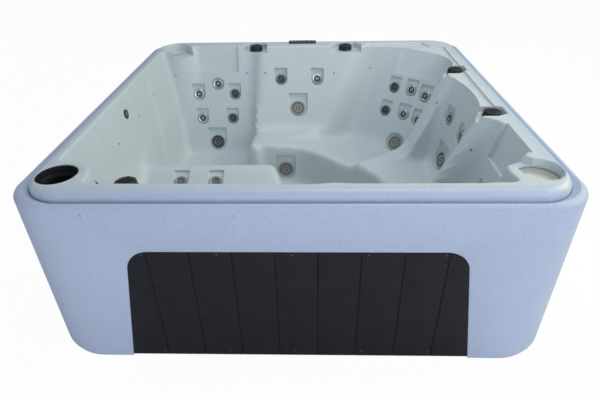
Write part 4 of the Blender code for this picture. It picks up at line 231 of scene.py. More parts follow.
# Posts of the shell under the corner wells and the low knob: plan centre, radius, lean, top
POSTS = (
    ((-0.843, -0.833), 0.100, 0.10, 1.0),
    ((0.850, -0.800), 0.103, 0.10, 1.0),
    ((-0.830, 0.820), 0.100, 0.0, 1.0),
    ((-0.612, -0.852), 0.060, 0.10, 0.711),
)
POST_FILLET = 0.05
POST_TOP_ROUND = 0.02

# Corner wells, dish and shelf
FILTER_CENTRE = (-0.856, -0.820)
FILTER_WELL_CENTRE = (-0.858, -0.826)
FILTER_WELL_RADIUS = 0.0735
FILTER_WELL_EDGE = 0.003
FILTER_THROAT_RADIUS = 0.059
BOWL_CENTRE = (0.862, -0.795)
BOWL_WELL_RADIUS = 0.077
BOWL_THROAT_RADIUS = 0.066
WELL_DEPTH = 0.040
BOWL_RIDGE_DEPTH = 0.033
BOWL_RIDGE_HALF = 0.058
BOWL_RIDGE_REACH = 0.16
DISH_CENTRE = POSTS[2][0]
DISH_RADIUS = 0.086
DISH_DEPTH = 0.048
DISH_MOUTH_HALF = 0.068
DISH_MOUTH_START = 0.075
DISH_MOUTH_REACH = 0.19
DISH_BEND_ROUNDS = (0.05, 0.03)
SHELF_DEPTH = 0.010
SHELF_OUTLINE = (
    (0.40, 0.62), (0.62, 0.62), (0.62, -0.315), (0.865, -0.315), (0.886, -0.285), (0.886, 0.775),
    (0.800, 0.800), (0.765, 0.884), (0.425, 0.884), (0.40, 0.860),
)
SHELF_ROUND = 0.010
SHELF_EDGE = 0.003
# A well's foot: run inside its wall and height above its floor
WELL_FOOT = ((0.003, 0.0), (0.0008, 0.0008), (0.0, 0.003))
SPOUT_FACING = 45.0
SPOUT_HALF = 0.043
SPOUT_HEIGHTS = (0.617, 0.681)
SPOUT_CUT = (0.030, 0.16)
SPOUT_CORNER = 0.004

# Head recesses: middle of the lip edge, facing, lean, depth
HEAD_RECESSES = (
    ((-0.565, 0.842), -90.0, 0.32, 0.013),
    ((0.7335, 0.707), -129.0, 0.44, 0.013),
    ((0.862, -0.54), 180.0, 0.24, 0.018),
)
RECESS_HALF = 0.132
RECESS_HEIGHT = 0.165
RECESS_OUT = 0.10
RECESS_CORNER = 0.008
RECESS_EDGE = 0.0015

# Knob notches: facing and half width; the low knob has a spot face in place of a notch
NOTCHES = {
    "knob_rear_left": (-90.0, 0.075),
    "knob_rear_right": (-90.0, 0.100),
    "knob_right_rear": (180.0, 0.070),
    "knob_right_front": (180.0, 0.065),
    "knob_front_left": (90.0, 0.0),
}
SPOT_FACE_RADIUS = 0.0455
SPOT_FACE_REACH = 0.050
NOTCH_BACK = 0.052
NOTCH_BACK_SHARE = 0.62
NOTCH_FLARE = 0.050
NOTCH_REACH = 0.16
NOTCH_CORNER = 0.012
NOTCH_FOOT = 0.004
VALVE_HOLE_RADIUS = 0.0196

# Jets: sizes of the pocket, the hole and the face
SMALL_JET = {"half": 0.040, "top": 0.066, "depth": 0.013, "hole": 0.0255, "collar": 0.0355, "face": 0.031}
LARGE_JET = {"half": 0.060, "top": 0.094, "depth": 0.014, "hole": 0.0355, "collar": 0.0490, "face": 0.0435}
LARGE_JETS = ("jet_lounge_large", "jet_centre_large", "jet_foot", "jet_corner_large", "jet_right_large")
ROUND_POCKETS = ("jet_lounge_top", "jet_corner_large")
# Painted shade on the jets: all faces are one steel; these are painted darker for the dim reflections they show.
DIM_REFLECTION_FACES = (
    "jet_lounge_upper_right",
    "jet_lounge_lower_right",
    "jet_centre_left",
    "jet_corner_upper_left",
    "jet_corner_lower_left",
    "jet_lounge_large",
)
# These faces are painted in a duller, greyer, browner steel for their weaker reflections.
DULL_REFLECTION_FACES = ("jet_centre_large", "jet_foot", "jet_corner_large", "jet_calf_left", "jet_calf_right")
POCKET_OUT = 0.05
POCKET_CORNER = 0.007
HOLE_LENGTH = 0.046
JET_LOW = 0.0038
JET_THICK = 0.0065
JET_HUB_LENGTH = 0.018
JET_HUB_SHARE = 0.58
GRIP_LOBES = 12
GRIP_DEPTH_SHARE = 0.035
GRIP_ROWS = (3, 4, 5)
# Share of the face radius, drop below the top as a share of the thickness, finish of the band that follows
SMALL_FACE_ROWS = (
    (1.00, 0.90, 0), (1.00, 0.34, 0), (0.985, 0.12, 0), (0.95, 0.00, 0), (0.86, 0.03, 0), (0.68, 0.16, 0),
    (0.655, 0.24, 0), (0.645, 0.62, 1), (0.60, 0.80, 1), (0.36, 0.86, 1), (0.31, 0.70, 1), (0.295, 0.28, 0),
    (0.27, 0.20, 0), (0.19, 0.22, 0), (0.16, 0.32, 1), (0.14, 0.80, 1), (0.05, 0.86, 1),
)
LARGE_FACE_ROWS = (
    (1.00, 0.90, 0), (1.00, 0.30, 0), (0.985, 0.08, 0), (0.955, 0.00, 0), (0.90, 0.04, 0), (0.875, 0.18, 0),
    (0.865, 0.55, 1), (0.80, 0.66, 1), (0.64, 0.62, 1), (0.62, 0.22, 0), (0.59, 0.12, 0), (0.52, 0.16, 0),
    (0.44, 0.34, 0), (0.36, 0.40, 1), (0.33, 0.62, 1), (0.20, 0.66, 1), (0.18, 0.40, 0), (0.14, 0.30, 0),
    (0.05, 0.27, 0),
)
TRIM_GAP = 0.0005
TRIM_TOP = 0.0042
# Trims: run from the inner and from the outer edge, and drop below the top
TRIM_INNER_ROWS = ((0.0, TRIM_TOP), (0.0, 0.001), (0.0004, 0.0002), (0.001, 0.0))
TRIM_OUTER_ROWS = ((0.0015, 0.0), (0.0005, 0.0005), (0.0, 0.0015), (0.0, TRIM_TOP))

# Knobs
KNOB_LOW = 0.0048
KNOB_HEIGHT = 0.028
KNOB_RADIUS = 0.0425
KNOB_LOBES = 8
KNOB_LOBE_SHARE = 0.10
KNOB_STEM_RADIUS = 0.0125
KNOB_STEM_LENGTH = 0.026
# Radius as a share of the knob's, height as a share of its own, depth of the lobes, finish of the band
KNOB_ROWS = (
    (0.985, 0.0, 0.0, 0), (1.0, 0.03, 0.0, 0), (1.0, 0.16, 0.0, 0), (0.985, 0.21, 0.0, 0),
    (0.965, 0.24, 0.55, 0), (0.96, 0.32, 1.0, 0), (0.95, 0.66, 1.0, 0), (0.935, 0.80, 1.0, 0),
    (0.90, 0.89, 0.9, 0), (0.84, 0.95, 0.6, 0), (0.78, 0.985, 0.3, 0), (0.735, 1.0, 0.0, 0),
    (0.715, 0.998, 0.0, 2), (0.685, 0.985, 0.0, 2), (0.672, 0.94, 0.0, 1), (0.50, 0.955, 0.0, 1),
    (0.25, 0.965, 0.0, 1), (0.05, 0.97, 0.0, 1),
)

# Access panel
PANEL_TOP = 0.547
PANEL_BOTTOM = 0.008
PANEL_TOP_HALF = 0.595
PANEL_BOTTOM_HALF = 0.685
PANEL_CORNER = 0.088
PANEL_FOOT_CORNER = 0.005
PANEL_THICK = 0.0055
PANEL_RECESS = 0.0012
PANEL_GAP = 0.002
PANEL_LAP = 0.025
PANEL_SILL = 0.055
PANEL_EDGE = 0.0015
GROOVE_PITCH = 0.152
GROOVE_FIRST_X = -0.532
GROOVE_COUNT = 8
GROOVE_HALF = 0.0036
GROOVE_DEPTH = 0.0030
GROOVE_ENDS = (PANEL_BOTTOM - CUT_OVERRUN, PANEL_TOP + CUT_OVERRUN)
# Section of a groove in shares of its half width and depth
GROOVE_SECTION = (
    (-2.2, 1.0), (-1.0, 0.06), (-0.75, -0.06), (-0.2, -0.95), (0.2, -0.95), (0.75, -0.06), (1.0, 0.06),
    (2.2, 1.0),
)
SCREW_PITCH = 0.2665
SCREW_FIRST_X = -0.547
SCREW_COUNT = 5
SCREW_ROWS = (0.5355, 0.036)
SCREW_RADIUS = 0.0045
SCREW_PROUD = 0.0009
SCREW_SEGMENTS = 48
SCREW_DOME = 0.42
SCREW_SHARES = (1.0, 0.97, 0.85, 0.66, 0.5, 0.34, 0.18, 0.05)
CROSS_HALF = 0.13
CROSS_REACH = 0.62
CROSS_DEPTH = 0.55
DIMPLES = ((-0.721, 0.703), (-0.211, 0.703))
DIMPLE_RADIUS = 0.0085
DIMPLE_DEPTH = 0.0028
DIMPLE_ROWS = ((0.5, 0.0), (0.8, 0.3), (1.0, 1.0), (1.15, 1.2))
REBATE_FOOT = 0.0005
REBATE_EDGE = 0.0025
DRAIN_HOLE_RADIUS = 0.0205

# Cabinet
SKIRT_WALL = 0.012
SKIRT_CORNER = 0.16
FOOT_CORNER_GROWTH = 0.035
FOOT_CORNER_HEIGHT = 0.045
FLANGE_HALF = 0.940
FLANGE_THICK = 0.012
LEDGE_INNER_HALF = 0.930
LEDGE_RISE = 0.022
LEDGE_RISE_FROM = 0.62
LEDGE_RISE_TO = 0.88
LEDGE_GAP = 0.0008
CREASE_RISE_SHARE = 0.30
LEDGE_THICK = 0.010

# Small fittings
LIGHT_POINT = (-0.887, -0.058, 0.671)
SUCTION_POINTS = {"suction_cover_left": (0.215, -0.510, 0.180), "suction_cover_right": (0.410, -0.270, 0.180)}
DRAIN_POINT = (0.150, 0.160, 0.100)
SEAT_CUT_DEPTH = 0.003
SEAT_CUTS = ((LIGHT_POINT, 0.0245), (DRAIN_POINT, 0.0215))
SUCTION_SEAT_RADIUS = 0.0475
SUCTION_SINK = 0.002
WALL_DOTS = (
    (-0.836, 0.729, 0.613), (-0.379, 0.790, 0.602), (-0.256, 0.757, 0.612), (0.195, 0.756, 0.608),
    (0.432, 0.800, 0.625), (0.739, 0.205, 0.615), (0.768, -0.354, 0.612), (-0.879, 0.376, 0.615),
    (-0.878, 0.079, 0.603), (-0.877, -0.241, 0.594),
)
DOT_RADIUS = 0.0055
DOT_HEIGHT = 0.0016
DOT_SINK = 0.001
DOT_ROWS = ((1.0, 0.4), (0.9, 0.75), (0.7, 1.0), (0.45, 1.0), (0.35, 0.2), (0.1, 0.1))

# Filter liner, bowl, light and suction covers: rows of radius and height, the light's with a finish
FILTER_LINER_ROWS = (
    (0.0545, 0.0005), (0.0730, 0.0005), (0.0730, 0.0340), (0.0724, 0.0350), (0.0716, 0.0345), (0.0712, 0.0330),
    (0.0706, 0.0060), (0.0690, 0.0045), (0.0555, 0.0042), (0.0545, 0.0032),
)
BOWL_ROWS = (
    (0.0600, -0.036), (0.0640, -0.020), (0.0650, 0.0004), (0.0738, 0.0004), (0.0744, 0.0014), (0.0738, 0.0030),
    (0.0700, 0.0034), (0.0685, 0.0028), (0.0670, 0.0000), (0.0650, -0.0080), (0.0610, -0.0170),
    (0.0540, -0.0245), (0.0420, -0.0300), (0.0260, -0.0325), (0.0060, -0.0330),
)
# Painted shade on the bowl: from the first radius to the second its colour darkens towards the edge, for the shade of
# the well's wall.
BOWL_PAINTED_SHADE = (0.057, 0.0725)
LIGHT_ROWS = (
    (0.0195, -0.0030, 0), (0.0225, -0.0010, 0), (0.0235, 0.0015, 0), (0.0230, 0.0034, 0), (0.0205, 0.0044, 0),
    (0.0170, 0.0044, 0), (0.0160, 0.0036, 1), (0.0150, 0.0048, 1), (0.0110, 0.0064, 1), (0.0050, 0.0072, 1),
    (0.0010, 0.0073, 1),
)
SUCTION_ROWS = (
    (0.0440, 0.000), (0.0462, 0.003), (0.0450, 0.009), (0.0420, 0.013), (0.0395, 0.0145), (0.0385, 0.0128),
    (0.0345, 0.0143), (0.0335, 0.0178), (0.0295, 0.0188), (0.0285, 0.0163), (0.0245, 0.0172), (0.0235, 0.0206),
    (0.0195, 0.0212), (0.0185, 0.0186), (0.0145, 0.0192), (0.0135, 0.0222), (0.0060, 0.0226), (0.0010, 0.0227),
)

# Controls on the rear rim
TOPSIDE_CENTRE = (-0.0125, 0.917)
TOPSIDE_HALF = (0.090, 0.0375)
TOPSIDE_ROUND = 0.014
TOPSIDE_THICK = 0.0030
TOPSIDE_EDGE = 0.0013
TOPSIDE_FOOT = ((-0.0004, 0.0), (0.0, 0.0006))
DISPLAY_HALF = (0.0295, 0.0155)
DISPLAY_ROUND = 0.004
DISPLAY_THICK = 0.0012
DISPLAY_EDGE = 0.0006
BUTTON_ROWS = (
    (0.0078, -0.0060), (0.0080, 0.0030), (0.0076, 0.0042), (0.0066, 0.0046), (0.0058, 0.0040), (0.0030, 0.0038),
    (0.0006, 0.0038),
)

# Camera of the photograph: place, yaw, pitch, roll in degrees and lens in millimetres
CAMERA_PLACE = (0.060, -2.258, 1.587)
CAMERA_YAW = -1.963
CAMERA_PITCH = 33.114
CAMERA_ROLL = -1.122
CAMERA_LENS = 28.11
SENSOR_WIDTH = 36.0
CAMERA_CLIP = 0.01

# Lamps: name, place, target, side and colour; then the floor, the even light and what shows white
LAMPS = (
    ("key", (2.75, 0.1, 2.1), (-0.2, 0.0, 0.5), 1.6, (0.93, 1.0, 0.60)),
    ("fill", (0.0, -4.2, 1.3), (0.0, 0.0, 0.4), 2.4, (0.81, 0.88, 1.0)),
    ("side", (2.2, -2.2, 2.0), (-0.2, 0.3, 0.5), 1.4, (0.88, 0.86, 1.0)),
    ("top", (0.6, 0.2, 3.4), (0.1, 0.0, 0.3), 1.6, (0.84, 0.92, 1.0)),
)
FLOOR_COLOUR = (0.90, 0.91, 0.92, 1.0)
FLOOR_WHITE = 0.965
AMBIENT_COLOUR = (0.86, 0.89, 1.0, 1.0)
WHITE = (1.0, 1.0, 1.0, 1.0)

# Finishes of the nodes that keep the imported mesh
PIPE_STARTS = ("plumbing_", "suction_pipe", "return_pipe", "drain_line")
NODE_LOOKS = {
    "base_pan": "base_plastic",
    "control_box": "box_plastic",
    "heater": "polished_steel",
    "pump_motor": "motor_paint",
    "pump_wet_end": "pump_plastic",
    "pump_impeller": "pump_plastic",
    "drain_cap": "black_plastic",
    "filter_bucket": "black_plastic",
    "filter_weir": "black_plastic",
    "filter_cartridge": "filter_paper",
}


# ---------------------------------------------------------------- settings a user would change


class TubSizes(bpy.types.PropertyGroup):
    """Sizes of the moulded edges and of the meshes that carry them."""

    lip_round: FloatProperty(
        name="Lip round", description="Radius from the rim down into the basin", default=0.012, unit="LENGTH"
    )
    rim_run: FloatProperty(
        name="Rim roll width", description="How far the rim's outer edge rolls in", default=0.030, unit="LENGTH"
    )
    rim_rise: FloatProperty(
        name="Rim roll height", description="How far the rim's outer edge rolls up", default=0.033, unit="LENGTH"
    )
    ledge_round: FloatProperty(
        name="Ledge round", description="Radius of the cabinet's top edge", default=0.020, unit="LENGTH"
    )
    pocket_round: FloatProperty(
        name="Pocket round", description="Radius round the edge of the jet pockets", default=0.004, unit="LENGTH"
    )
    notch_round: FloatProperty(
        name="Notch round", description="Radius round notches, wells and recesses", default=0.006, unit="LENGTH"
    )
    spokes: IntProperty(name="Spokes", description="Mesh spokes round the basin", default=480, min=60)
    rings: IntProperty(name="Rings", description="Mesh rings from the lip to the footwell", default=118, min=20)


class TubColours(bpy.types.PropertyGroup):
    """Colours of the main finishes."""

    shell: FloatVectorProperty(
        name="Shell", description="Moulded acrylic", default=(0.590, 0.650, 0.665), subtype="COLOR"
    )
    # Colour of the painted shade on the rim's outer roll, a cooler, darker copy of the shell's.
    rim_band: FloatVectorProperty(
        name="Rim band", description="Outer face of the rim", default=(0.470, 0.545, 0.670), subtype="COLOR"
    )
    # The cabinet's colour is a bluer, darker copy of the shell's acrylic, painting in the cool shade on its upright
    # faces.
    skirt: FloatVectorProperty(
        name="Cabinet", description="Cabinet skirt", default=(0.455, 0.528, 0.655), subtype="COLOR"
    )
    panel: FloatVectorProperty(
        name="Access panel", description="Ribbed panel", default=(0.0105, 0.0112, 0.0140), subtype="COLOR"
    )
    steel: FloatVectorProperty(
        name="Steel", description="Bright jet faces and the heater", default=(0.60, 0.61, 0.60), subtype="COLOR"
    )
    # Darker steel: on the jets of the dim list it is painted shade for their dim reflections; on the knob rings it
    # makes the ring dark.
    smoked: FloatVectorProperty(
        name="Smoked steel", description="Darker faces and knob rings", default=(0.17, 0.18, 0.185), subtype="COLOR"
    )
    knob: FloatVectorProperty(
        name="Knobs", description="Knobs and the other black plastic", default=(0.013, 0.014, 0.016), subtype="COLOR"
    )


class StageSettings(bpy.types.PropertyGroup):
    """Light and floor."""

    ambient: FloatProperty(name="Ambient", description="Strength of the even light", default=0.38, min=0.0)
    key_power: FloatProperty(
        name="Key light", description="Power of the soft lamp on the right", default=31.0, min=0.0, unit="POWER"
    )
    fill_power: FloatProperty(
        name="Fill light", description="Power of the soft lamp in front", default=41.0, min=0.0, unit="POWER"
    )
    side_power: FloatProperty(
        name="Side light", description="Power of the soft lamp on the front right", default=19.0, min=0.0, unit="POWER"
    )
    top_power: FloatProperty(
        name="Top light", description="Power of the soft lamp overhead", default=32.0, min=0.0, unit="POWER"
    )
    floor_size: FloatProperty(name="Floor size", description="Side of the floor", default=30.0, unit="LENGTH")


def sizes():
    """The sizes chosen for the tub."""
    return bpy.context.scene.tub_sizes


# ---------------------------------------------------------------- the basin as a rounded distance field


def facing_vector(degrees):
    """Unit vector in plan for an angle from +X."""
    angle = math.radians(degrees)
    return math.cos(angle), math.sin(angle)


def smooth_max(first, second, blend):
    """The larger of two distances, rounded where they meet by blend * share * (1 - share)."""
    share = np.clip(0.5 + 0.5 * (first - second) / blend, 0.0, 1.0)
    return second + (first - second) * share + blend * share * (1.0 - share)


def smooth_min(first, second, blend):
    """The smaller of two distances, rounded where they meet."""
    return -smooth_max(-first, -second, blend)


def run_from(x, y, point, facing):
    """Distance in plan from a wall's point along the way the wall faces."""
    away_x, away_y = facing_vector(facing)
    return (x - point[0]) * away_x + (y - point[1]) * away_y


def beyond_wall(x, y, z, wall):
    """Distance behind a leaning wall: (lean * drop - run inward) / slope length."""
    point, facing, lean = wall
    return (lean * (RIM_HEIGHT - z) - run_from(x, y, point, facing)) / math.hypot(1.0, lean)


def beyond_riser(x, y, z, point, facing):
    """Distance behind a footwell wall, which leans back from its foot."""
    return (-run_from(x, y, point, facing) - RISER_LEAN * (z - FLOOR_HEIGHT)) / math.hypot(1.0, RISER_LEAN)


def lounge_height(y):
    """Height of the lounge along the body: low seat, raised knee and sloping leg rest, blended."""
    rise = LOUNGE_SEAT_HEIGHT + LOUNGE_THIGH_RISE * (LOUNGE_SEAT_Y - y)
    fall = LOUNGE_KNEE_HEIGHT - LOUNGE_CALF_FALL * (LOUNGE_KNEE_Y - y)
    calf = smooth_max(fall, LOUNGE_FOOT_HEIGHT, LOUNGE_END_ROUND)
    knee = smooth_min(rise, calf, LOUNGE_KNEE_ROUND)
    return smooth_max(knee, LOUNGE_SEAT_HEIGHT, LOUNGE_END_ROUND)


def outside_seat(x, y, z, seat):
    """Distance outside one seat's hollow: the largest of its back, pan, sides and limit."""
    point, facing, lean = seat.back
    away_x, away_y = facing_vector(facing)
    away = run_from(x, y, point, facing)
    along = (x - point[0]) * away_y - (y - point[1]) * away_x
    curved = away - seat.bow * (along / seat.half) ** 2
    back = (lean * (RIM_HEIGHT - z) - curved) / math.hypot(1.0, lean)
    rise = np.clip(away / seat.nose, 0.0, PAN_RISE_LIMIT)
    pan = seat.nose_height - seat.fall * (1.0 - rise) - z
    outside = smooth_max(back, pan, seat.fillet)
    for wall in seat.sides:
        outside = smooth_max(outside, beyond_wall(x, y, z, wall), SIDE_FILLET)
    limit = (away - seat.reach - LIMIT_LEAN * (z - seat.nose_height)) / math.hypot(1.0, LIMIT_LEAN)
    return smooth_max(outside, limit, SIDE_FILLET)


def outside_lounge(x, y, z, walls):
    """Distance outside one half of the lounge."""
    outside = (lounge_height(y) - z) * LOUNGE_SLOPE_SHARE
    outside = smooth_max(outside, beyond_wall(x, y, z, walls[0]), LOUNGE_BACK_FILLET)
    for wall in walls[1:]:
        outside = smooth_max(outside, beyond_wall(x, y, z, wall), SIDE_FILLET)
    return outside


def outside_bowl(x, y, z, walls, bed):
    """Distance outside one of the wide bowls over the seats and the lounge."""
    outside = bed - z + 0.0 * x
    for wall in walls:
        outside = smooth_max(outside, beyond_wall(x, y, z, wall), SIDE_FILLET)
    return outside


def outside_footwell(x, y, z):
    """Distance outside the footwell."""
    outside = FLOOR_HEIGHT - z + 0.0 * x
    for point, facing in FOOTWELL_WALLS:
        outside = smooth_max(outside, beyond_riser(x, y, z, point, facing), FOOTWELL_FILLET)
    return outside


def outside_basin(x, y, z):
    """Distance outside the whole basin, negative in the water: hollows joined, then the posts taken out."""
    lounge = outside_bowl(x, y, z, LOUNGE_BOWL_WALLS, LOUNGE_BOWL_BED)
    for walls in (LOUNGE_BACK_WALLS, LOUNGE_LEG_WALLS):
        lounge = smooth_min(lounge, outside_lounge(x, y, z, walls), DIVIDER_ROUND)
    outside = smooth_min(lounge, outside_bowl(x, y, z, SEAT_BOWL_WALLS, SEAT_BOWL_BED), RIDGE_ROUND)
    for seat in SEATS:
        outside = smooth_min(outside, outside_seat(x, y, z, seat), RIDGE_ROUND)
    outside = smooth_min(outside, outside_footwell(x, y, z), NOSE_ROUND)
    for centre, radius, lean, top in POSTS:
        room = radius + lean * (RIM_HEIGHT - z) - np.hypot(x - centre[0], y - centre[1])
        room = smooth_min(room, top - z, POST_TOP_ROUND)
        outside = smooth_max(outside, room, POST_FILLET)
    return outside


def basin_slope(points):
    """Gradient of the field at rows of points, from central differences."""
    steps = np.eye(3) * GRADIENT_STEP
    rises = [outside_basin(*(points + step).T) - outside_basin(*(points - step).T) for step in steps]
    return np.stack(rises, axis=-1) / (2.0 * GRADIENT_STEP)


def halved(shape, search, short):
    """Where a test turns from true to false, for an array of a shape, by halving between a search's ends."""
    low = np.full(shape, search[0])
    high = np.full(shape, search[1])
    for _ in range(search[2]):
        middle = 0.5 * (low + high)
        below = short(middle)
        low = np.where(below, middle, low)
        high = np.where(below, high, middle)
    return 0.5 * (low + high)


def basin_height(x, y, grow):
    """Height of the basin surface at plan points, or of the surface grow behind it."""
    return halved(np.shape(x), HEIGHT_SEARCH, lambda z: outside_basin(x, y, z) > grow)


def about_centre(angles, radii):
    """Plan places at radii from the basin's centre."""
    return BASIN_CENTRE[0] + np.cos(angles) * radii, BASIN_CENTRE[1] + np.sin(angles) * radii


def lip_radii(angles, level, grow):
    """Distance from the basin's centre to its wall at a level, for each angle."""
    steps = np.linspace(*LIP_SEARCH)
    x, y = about_centre(angles[:, None], steps)
    beyond = outside_basin(x, y, np.full_like(x, level)) - grow
    first = np.argmax(beyond >= 0.0, axis=1)
    rows = np.arange(len(angles))
    low = beyond[rows, first - 1]
    high = beyond[rows, first]
    return steps[first - 1] + (steps[first] - steps[first - 1]) * low / (low - high)


def corner_spread_angles(count):
    """Angles round the basin's centre, closer together by a bell curve where they cross the rim's corners."""
    samples, gain, width = SPREAD
    even = np.linspace(0.0, 2.0 * np.pi, samples, endpoint=False)
    weight = np.ones_like(even)
    for side_x in (-1.0, 1.0):
        for side_y in (-1.0, 1.0):
            corner = math.atan2(side_y - BASIN_CENTRE[1], side_x - BASIN_CENTRE[0])
            apart = np.abs((even - corner + np.pi) % (2.0 * np.pi) - np.pi)
            weight = weight + gain * np.exp(-((apart / width) ** 2))
    total = np.concatenate([[0.0], np.cumsum(weight)])
    turn = np.linspace(0.0, 2.0 * np.pi, len(total))
    return np.interp(np.linspace(0.0, total[-1], count, endpoint=False), total, turn)


def rounded_square_radius(angles, half, corner):
    """Distance from the basin's centre to a rounded square about the origin, for each angle."""

    def inside(radii):
        x, y = (np.abs(place) - (half - corner) for place in about_centre(angles, radii))
        outside = np.hypot(np.maximum(x, 0.0), np.maximum(y, 0.0)) - corner
        return outside + np.minimum(np.maximum(x, y), 0.0) < 0.0

    return halved(len(angles), RADIUS_SEARCH, inside)


# ---------------------------------------------------------------- meshes from grids of points


def grid_faces(rows, columns, start=0):
    """Quads between the rows of a grid whose columns run round and close."""
    row = np.arange(rows - 1)[:, None] * columns
    column = np.arange(columns)[None, :]
    following = (column + 1) % columns
    corners = (row + column, row + following, row + columns + following, row + columns + column)
    return np.stack(np.broadcast_arrays(*corners), axis=-1).reshape(-1, 4) + start


def closed_grid(points):
    """Points and faces of a grid of closed loops, with a face filling its first and last loop."""
    rows, columns, _ = points.shape
    faces = grid_faces(rows, columns).tolist()
    faces.append(list(range(columns))[::-1])
    faces.append(list(range((rows - 1) * columns, rows * columns)))
    return points.reshape(-1, 3), faces


def ring_grid(points):
    """Points and faces of a grid of closed loops whose last loop joins its first."""
    rows, columns, _ = points.shape
    wrapped = grid_faces(rows + 1, columns) % (rows * columns)
    return points.reshape(-1, 3), wrapped.tolist()


def joined(parts):
    """One set of points and faces from several."""
    points = []
    faces = []
    start = 0
    for part_points, part_faces in parts:
        points.append(part_points)
        faces += [[index + start for index in face] for face in part_faces]
        start += len(part_points)
    return np.concatenate(points), faces


def placed(part, place):
    """Points moved by a place, a 4 by 4 matrix, with their faces."""
    points, faces = part
    matrix = np.array(place)
    return points @ matrix[:3, :3].T + matrix[:3, 3], faces


def mesh_of(name, part, outward=True):
    """Blender mesh of points and faces, its faces turned outward."""
    points, faces = part
    mesh = bpy.data.meshes.new(name)
    mesh.from_pydata(points.tolist(), [], faces)
    if outward:
        shaped = bmesh.new()
        shaped.from_mesh(mesh)
        bmesh.ops.recalc_face_normals(shaped, faces=shaped.faces)
        shaped.to_mesh(mesh)
        shaped.free()
    return mesh


def linked(name, data):
    """Scene object of some data, standing at the origin."""
    made = bpy.data.objects.new(name, data)
    bpy.context.scene.collection.objects.link(made)
    return made


def object_of(name, part):
    """Scene object of points and faces."""
    return linked(name, mesh_of(name, part))


def cut(made, parts):
    """Takes closed bodies that don't touch each other out of an object."""
    tool = object_of("cutter", joined(parts))
    modifier = made.modifiers.new("cut", "BOOLEAN")
    modifier.operation = "DIFFERENCE"
    modifier.solver = "MANIFOLD"
    modifier.object = tool
    graph = bpy.context.evaluated_depsgraph_get()
    data = bpy.data.meshes.new_from_object(made.evaluated_get(graph))
    made.modifiers.clear()
    made.data = data
    bpy.data.objects.remove(tool)
    if not len(data.polygons):
        raise RuntimeError(f"{made.name} has no faces left after a cut")


def finished(made, looks, body=TUB, stands_for=(), degrees=SMOOTH):
    """Gives a piece its finishes, smooth shading, body, slot and the nodes that it stands for."""
    made.data.materials.clear()
    for look in looks:
        made.data.materials.append(finish(look))
    made.data.polygons.foreach_set("use_smooth", [True] * len(made.data.polygons))
    made.data.set_sharp_from_angle(angle=math.radians(degrees))
    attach(made, body)
    if stands_for:
        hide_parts(*stands_for)


def arc(radius, steps):
    """Pairs of run and rise along a quarter round: radius * (1 - cos) and radius * sin of the angle."""
    angles = np.linspace(0.0, 0.5 * math.pi, steps + 1)
    return list(zip(radius * (1.0 - np.cos(angles)), radius * np.sin(angles)))


def rounded_outline(corners, radii, steps):
    """Outline with an arc at each corner, and the unit normals along it; a hollow corner's arc turns inward."""
    corners = np.array(corners, float)
    if np.sum(corners[:, 0] * np.roll(corners[:, 1], -1) - np.roll(corners[:, 0], -1) * corners[:, 1]) < 0.0:
        corners = corners[::-1]
        radii = radii[::-1] if hasattr(radii, "__len__") else radii
    radii = np.broadcast_to(radii, len(corners))
    spots = []
    normals = []
    for index, here in enumerate(corners):
        before = corners[index - 1] - here
        after = corners[(index + 1) % len(corners)] - here
        before = before / np.linalg.norm(before)
        after = after / np.linalg.norm(after)
        side = 1.0 if before[0] * after[1] - before[1] * after[0] < 0.0 else -1.0
        half = 0.5 * math.acos(max(-1.0, min(1.0, float(before @ after))))
        middle = here + (before + after) / np.linalg.norm(before + after) * radii[index] / math.sin(half)
        start = here + before * radii[index] / math.tan(half) - middle
        turns = np.linspace(0.0, side * (math.pi - 2.0 * half), steps + 1)
        x = start[0] * np.cos(turns) - start[1] * np.sin(turns)
        y = start[0] * np.sin(turns) + start[1] * np.cos(turns)
        spokes = np.column_stack([x, y])
        spots.append(middle + spokes)
        normals.append(side * spokes / radii[index])
    return np.concatenate(spots), np.concatenate(normals)


def swept(outline, rows):
    """Grid of an outline carried up through rows of (growth, height): point + normal * growth."""
    spots, normals = outline
    loops = [np.column_stack([spots + normals * growth, np.full(len(spots), height)]) for growth, height in rows]
    return np.stack(loops)


def rectangle(half_x, half_y, centre=(0.0, 0.0)):
    """Corners of a rectangle about a centre."""
    x, y = centre
    return ((x - half_x, y - half_y), (x + half_x, y - half_y), (x + half_x, y + half_y), (x - half_x, y + half_y))


def turned(rows, segments, wave=None):
    """Grid turned about Z from rows of (radius, height); wave(angles, row) scales the radius."""
    angles = np.linspace(0.0, 2.0 * math.pi, segments, endpoint=False)
    loops = []
    for index, (radius, height) in enumerate(rows):
        radii = radius * (wave(angles, index) if wave else np.ones(segments))
        loops.append(np.column_stack([np.cos(angles) * radii, np.sin(angles) * radii, np.full(segments, height)]))
    return np.stack(loops)


def cutter_rows(depth, out, foot, edge):
    """Rows of a cutter from its floor up: rounded foot, wall, flared edge at the surface, then straight out."""
    rows = [(-foot + rise, run) for run, rise in arc(foot, steps=4)]
    rows += [(run, depth - edge + rise + EPS_RISE) for run, rise in arc(edge, steps=4)]
    return [*rows, (edge, depth + out)]


def plate_rows(thick, edge, steps, foot=((0.0, 0.0),)):
    """Rows of a plate from its back: its foot, its side and a rounded front edge."""
    return [*foot, *((-run, thick - edge + rise) for run, rise in arc(edge, steps))]


def upright(x, y, z):
    """Place with its Z axis up."""
    return Matrix.Translation((x, y, z))


def facing_place(x, y, z, degrees):
    """Place with its own X axis facing a way in plan."""
    return Matrix.Translation((x, y, z)) @ Matrix.Rotation(math.radians(degrees), 4, "Z")


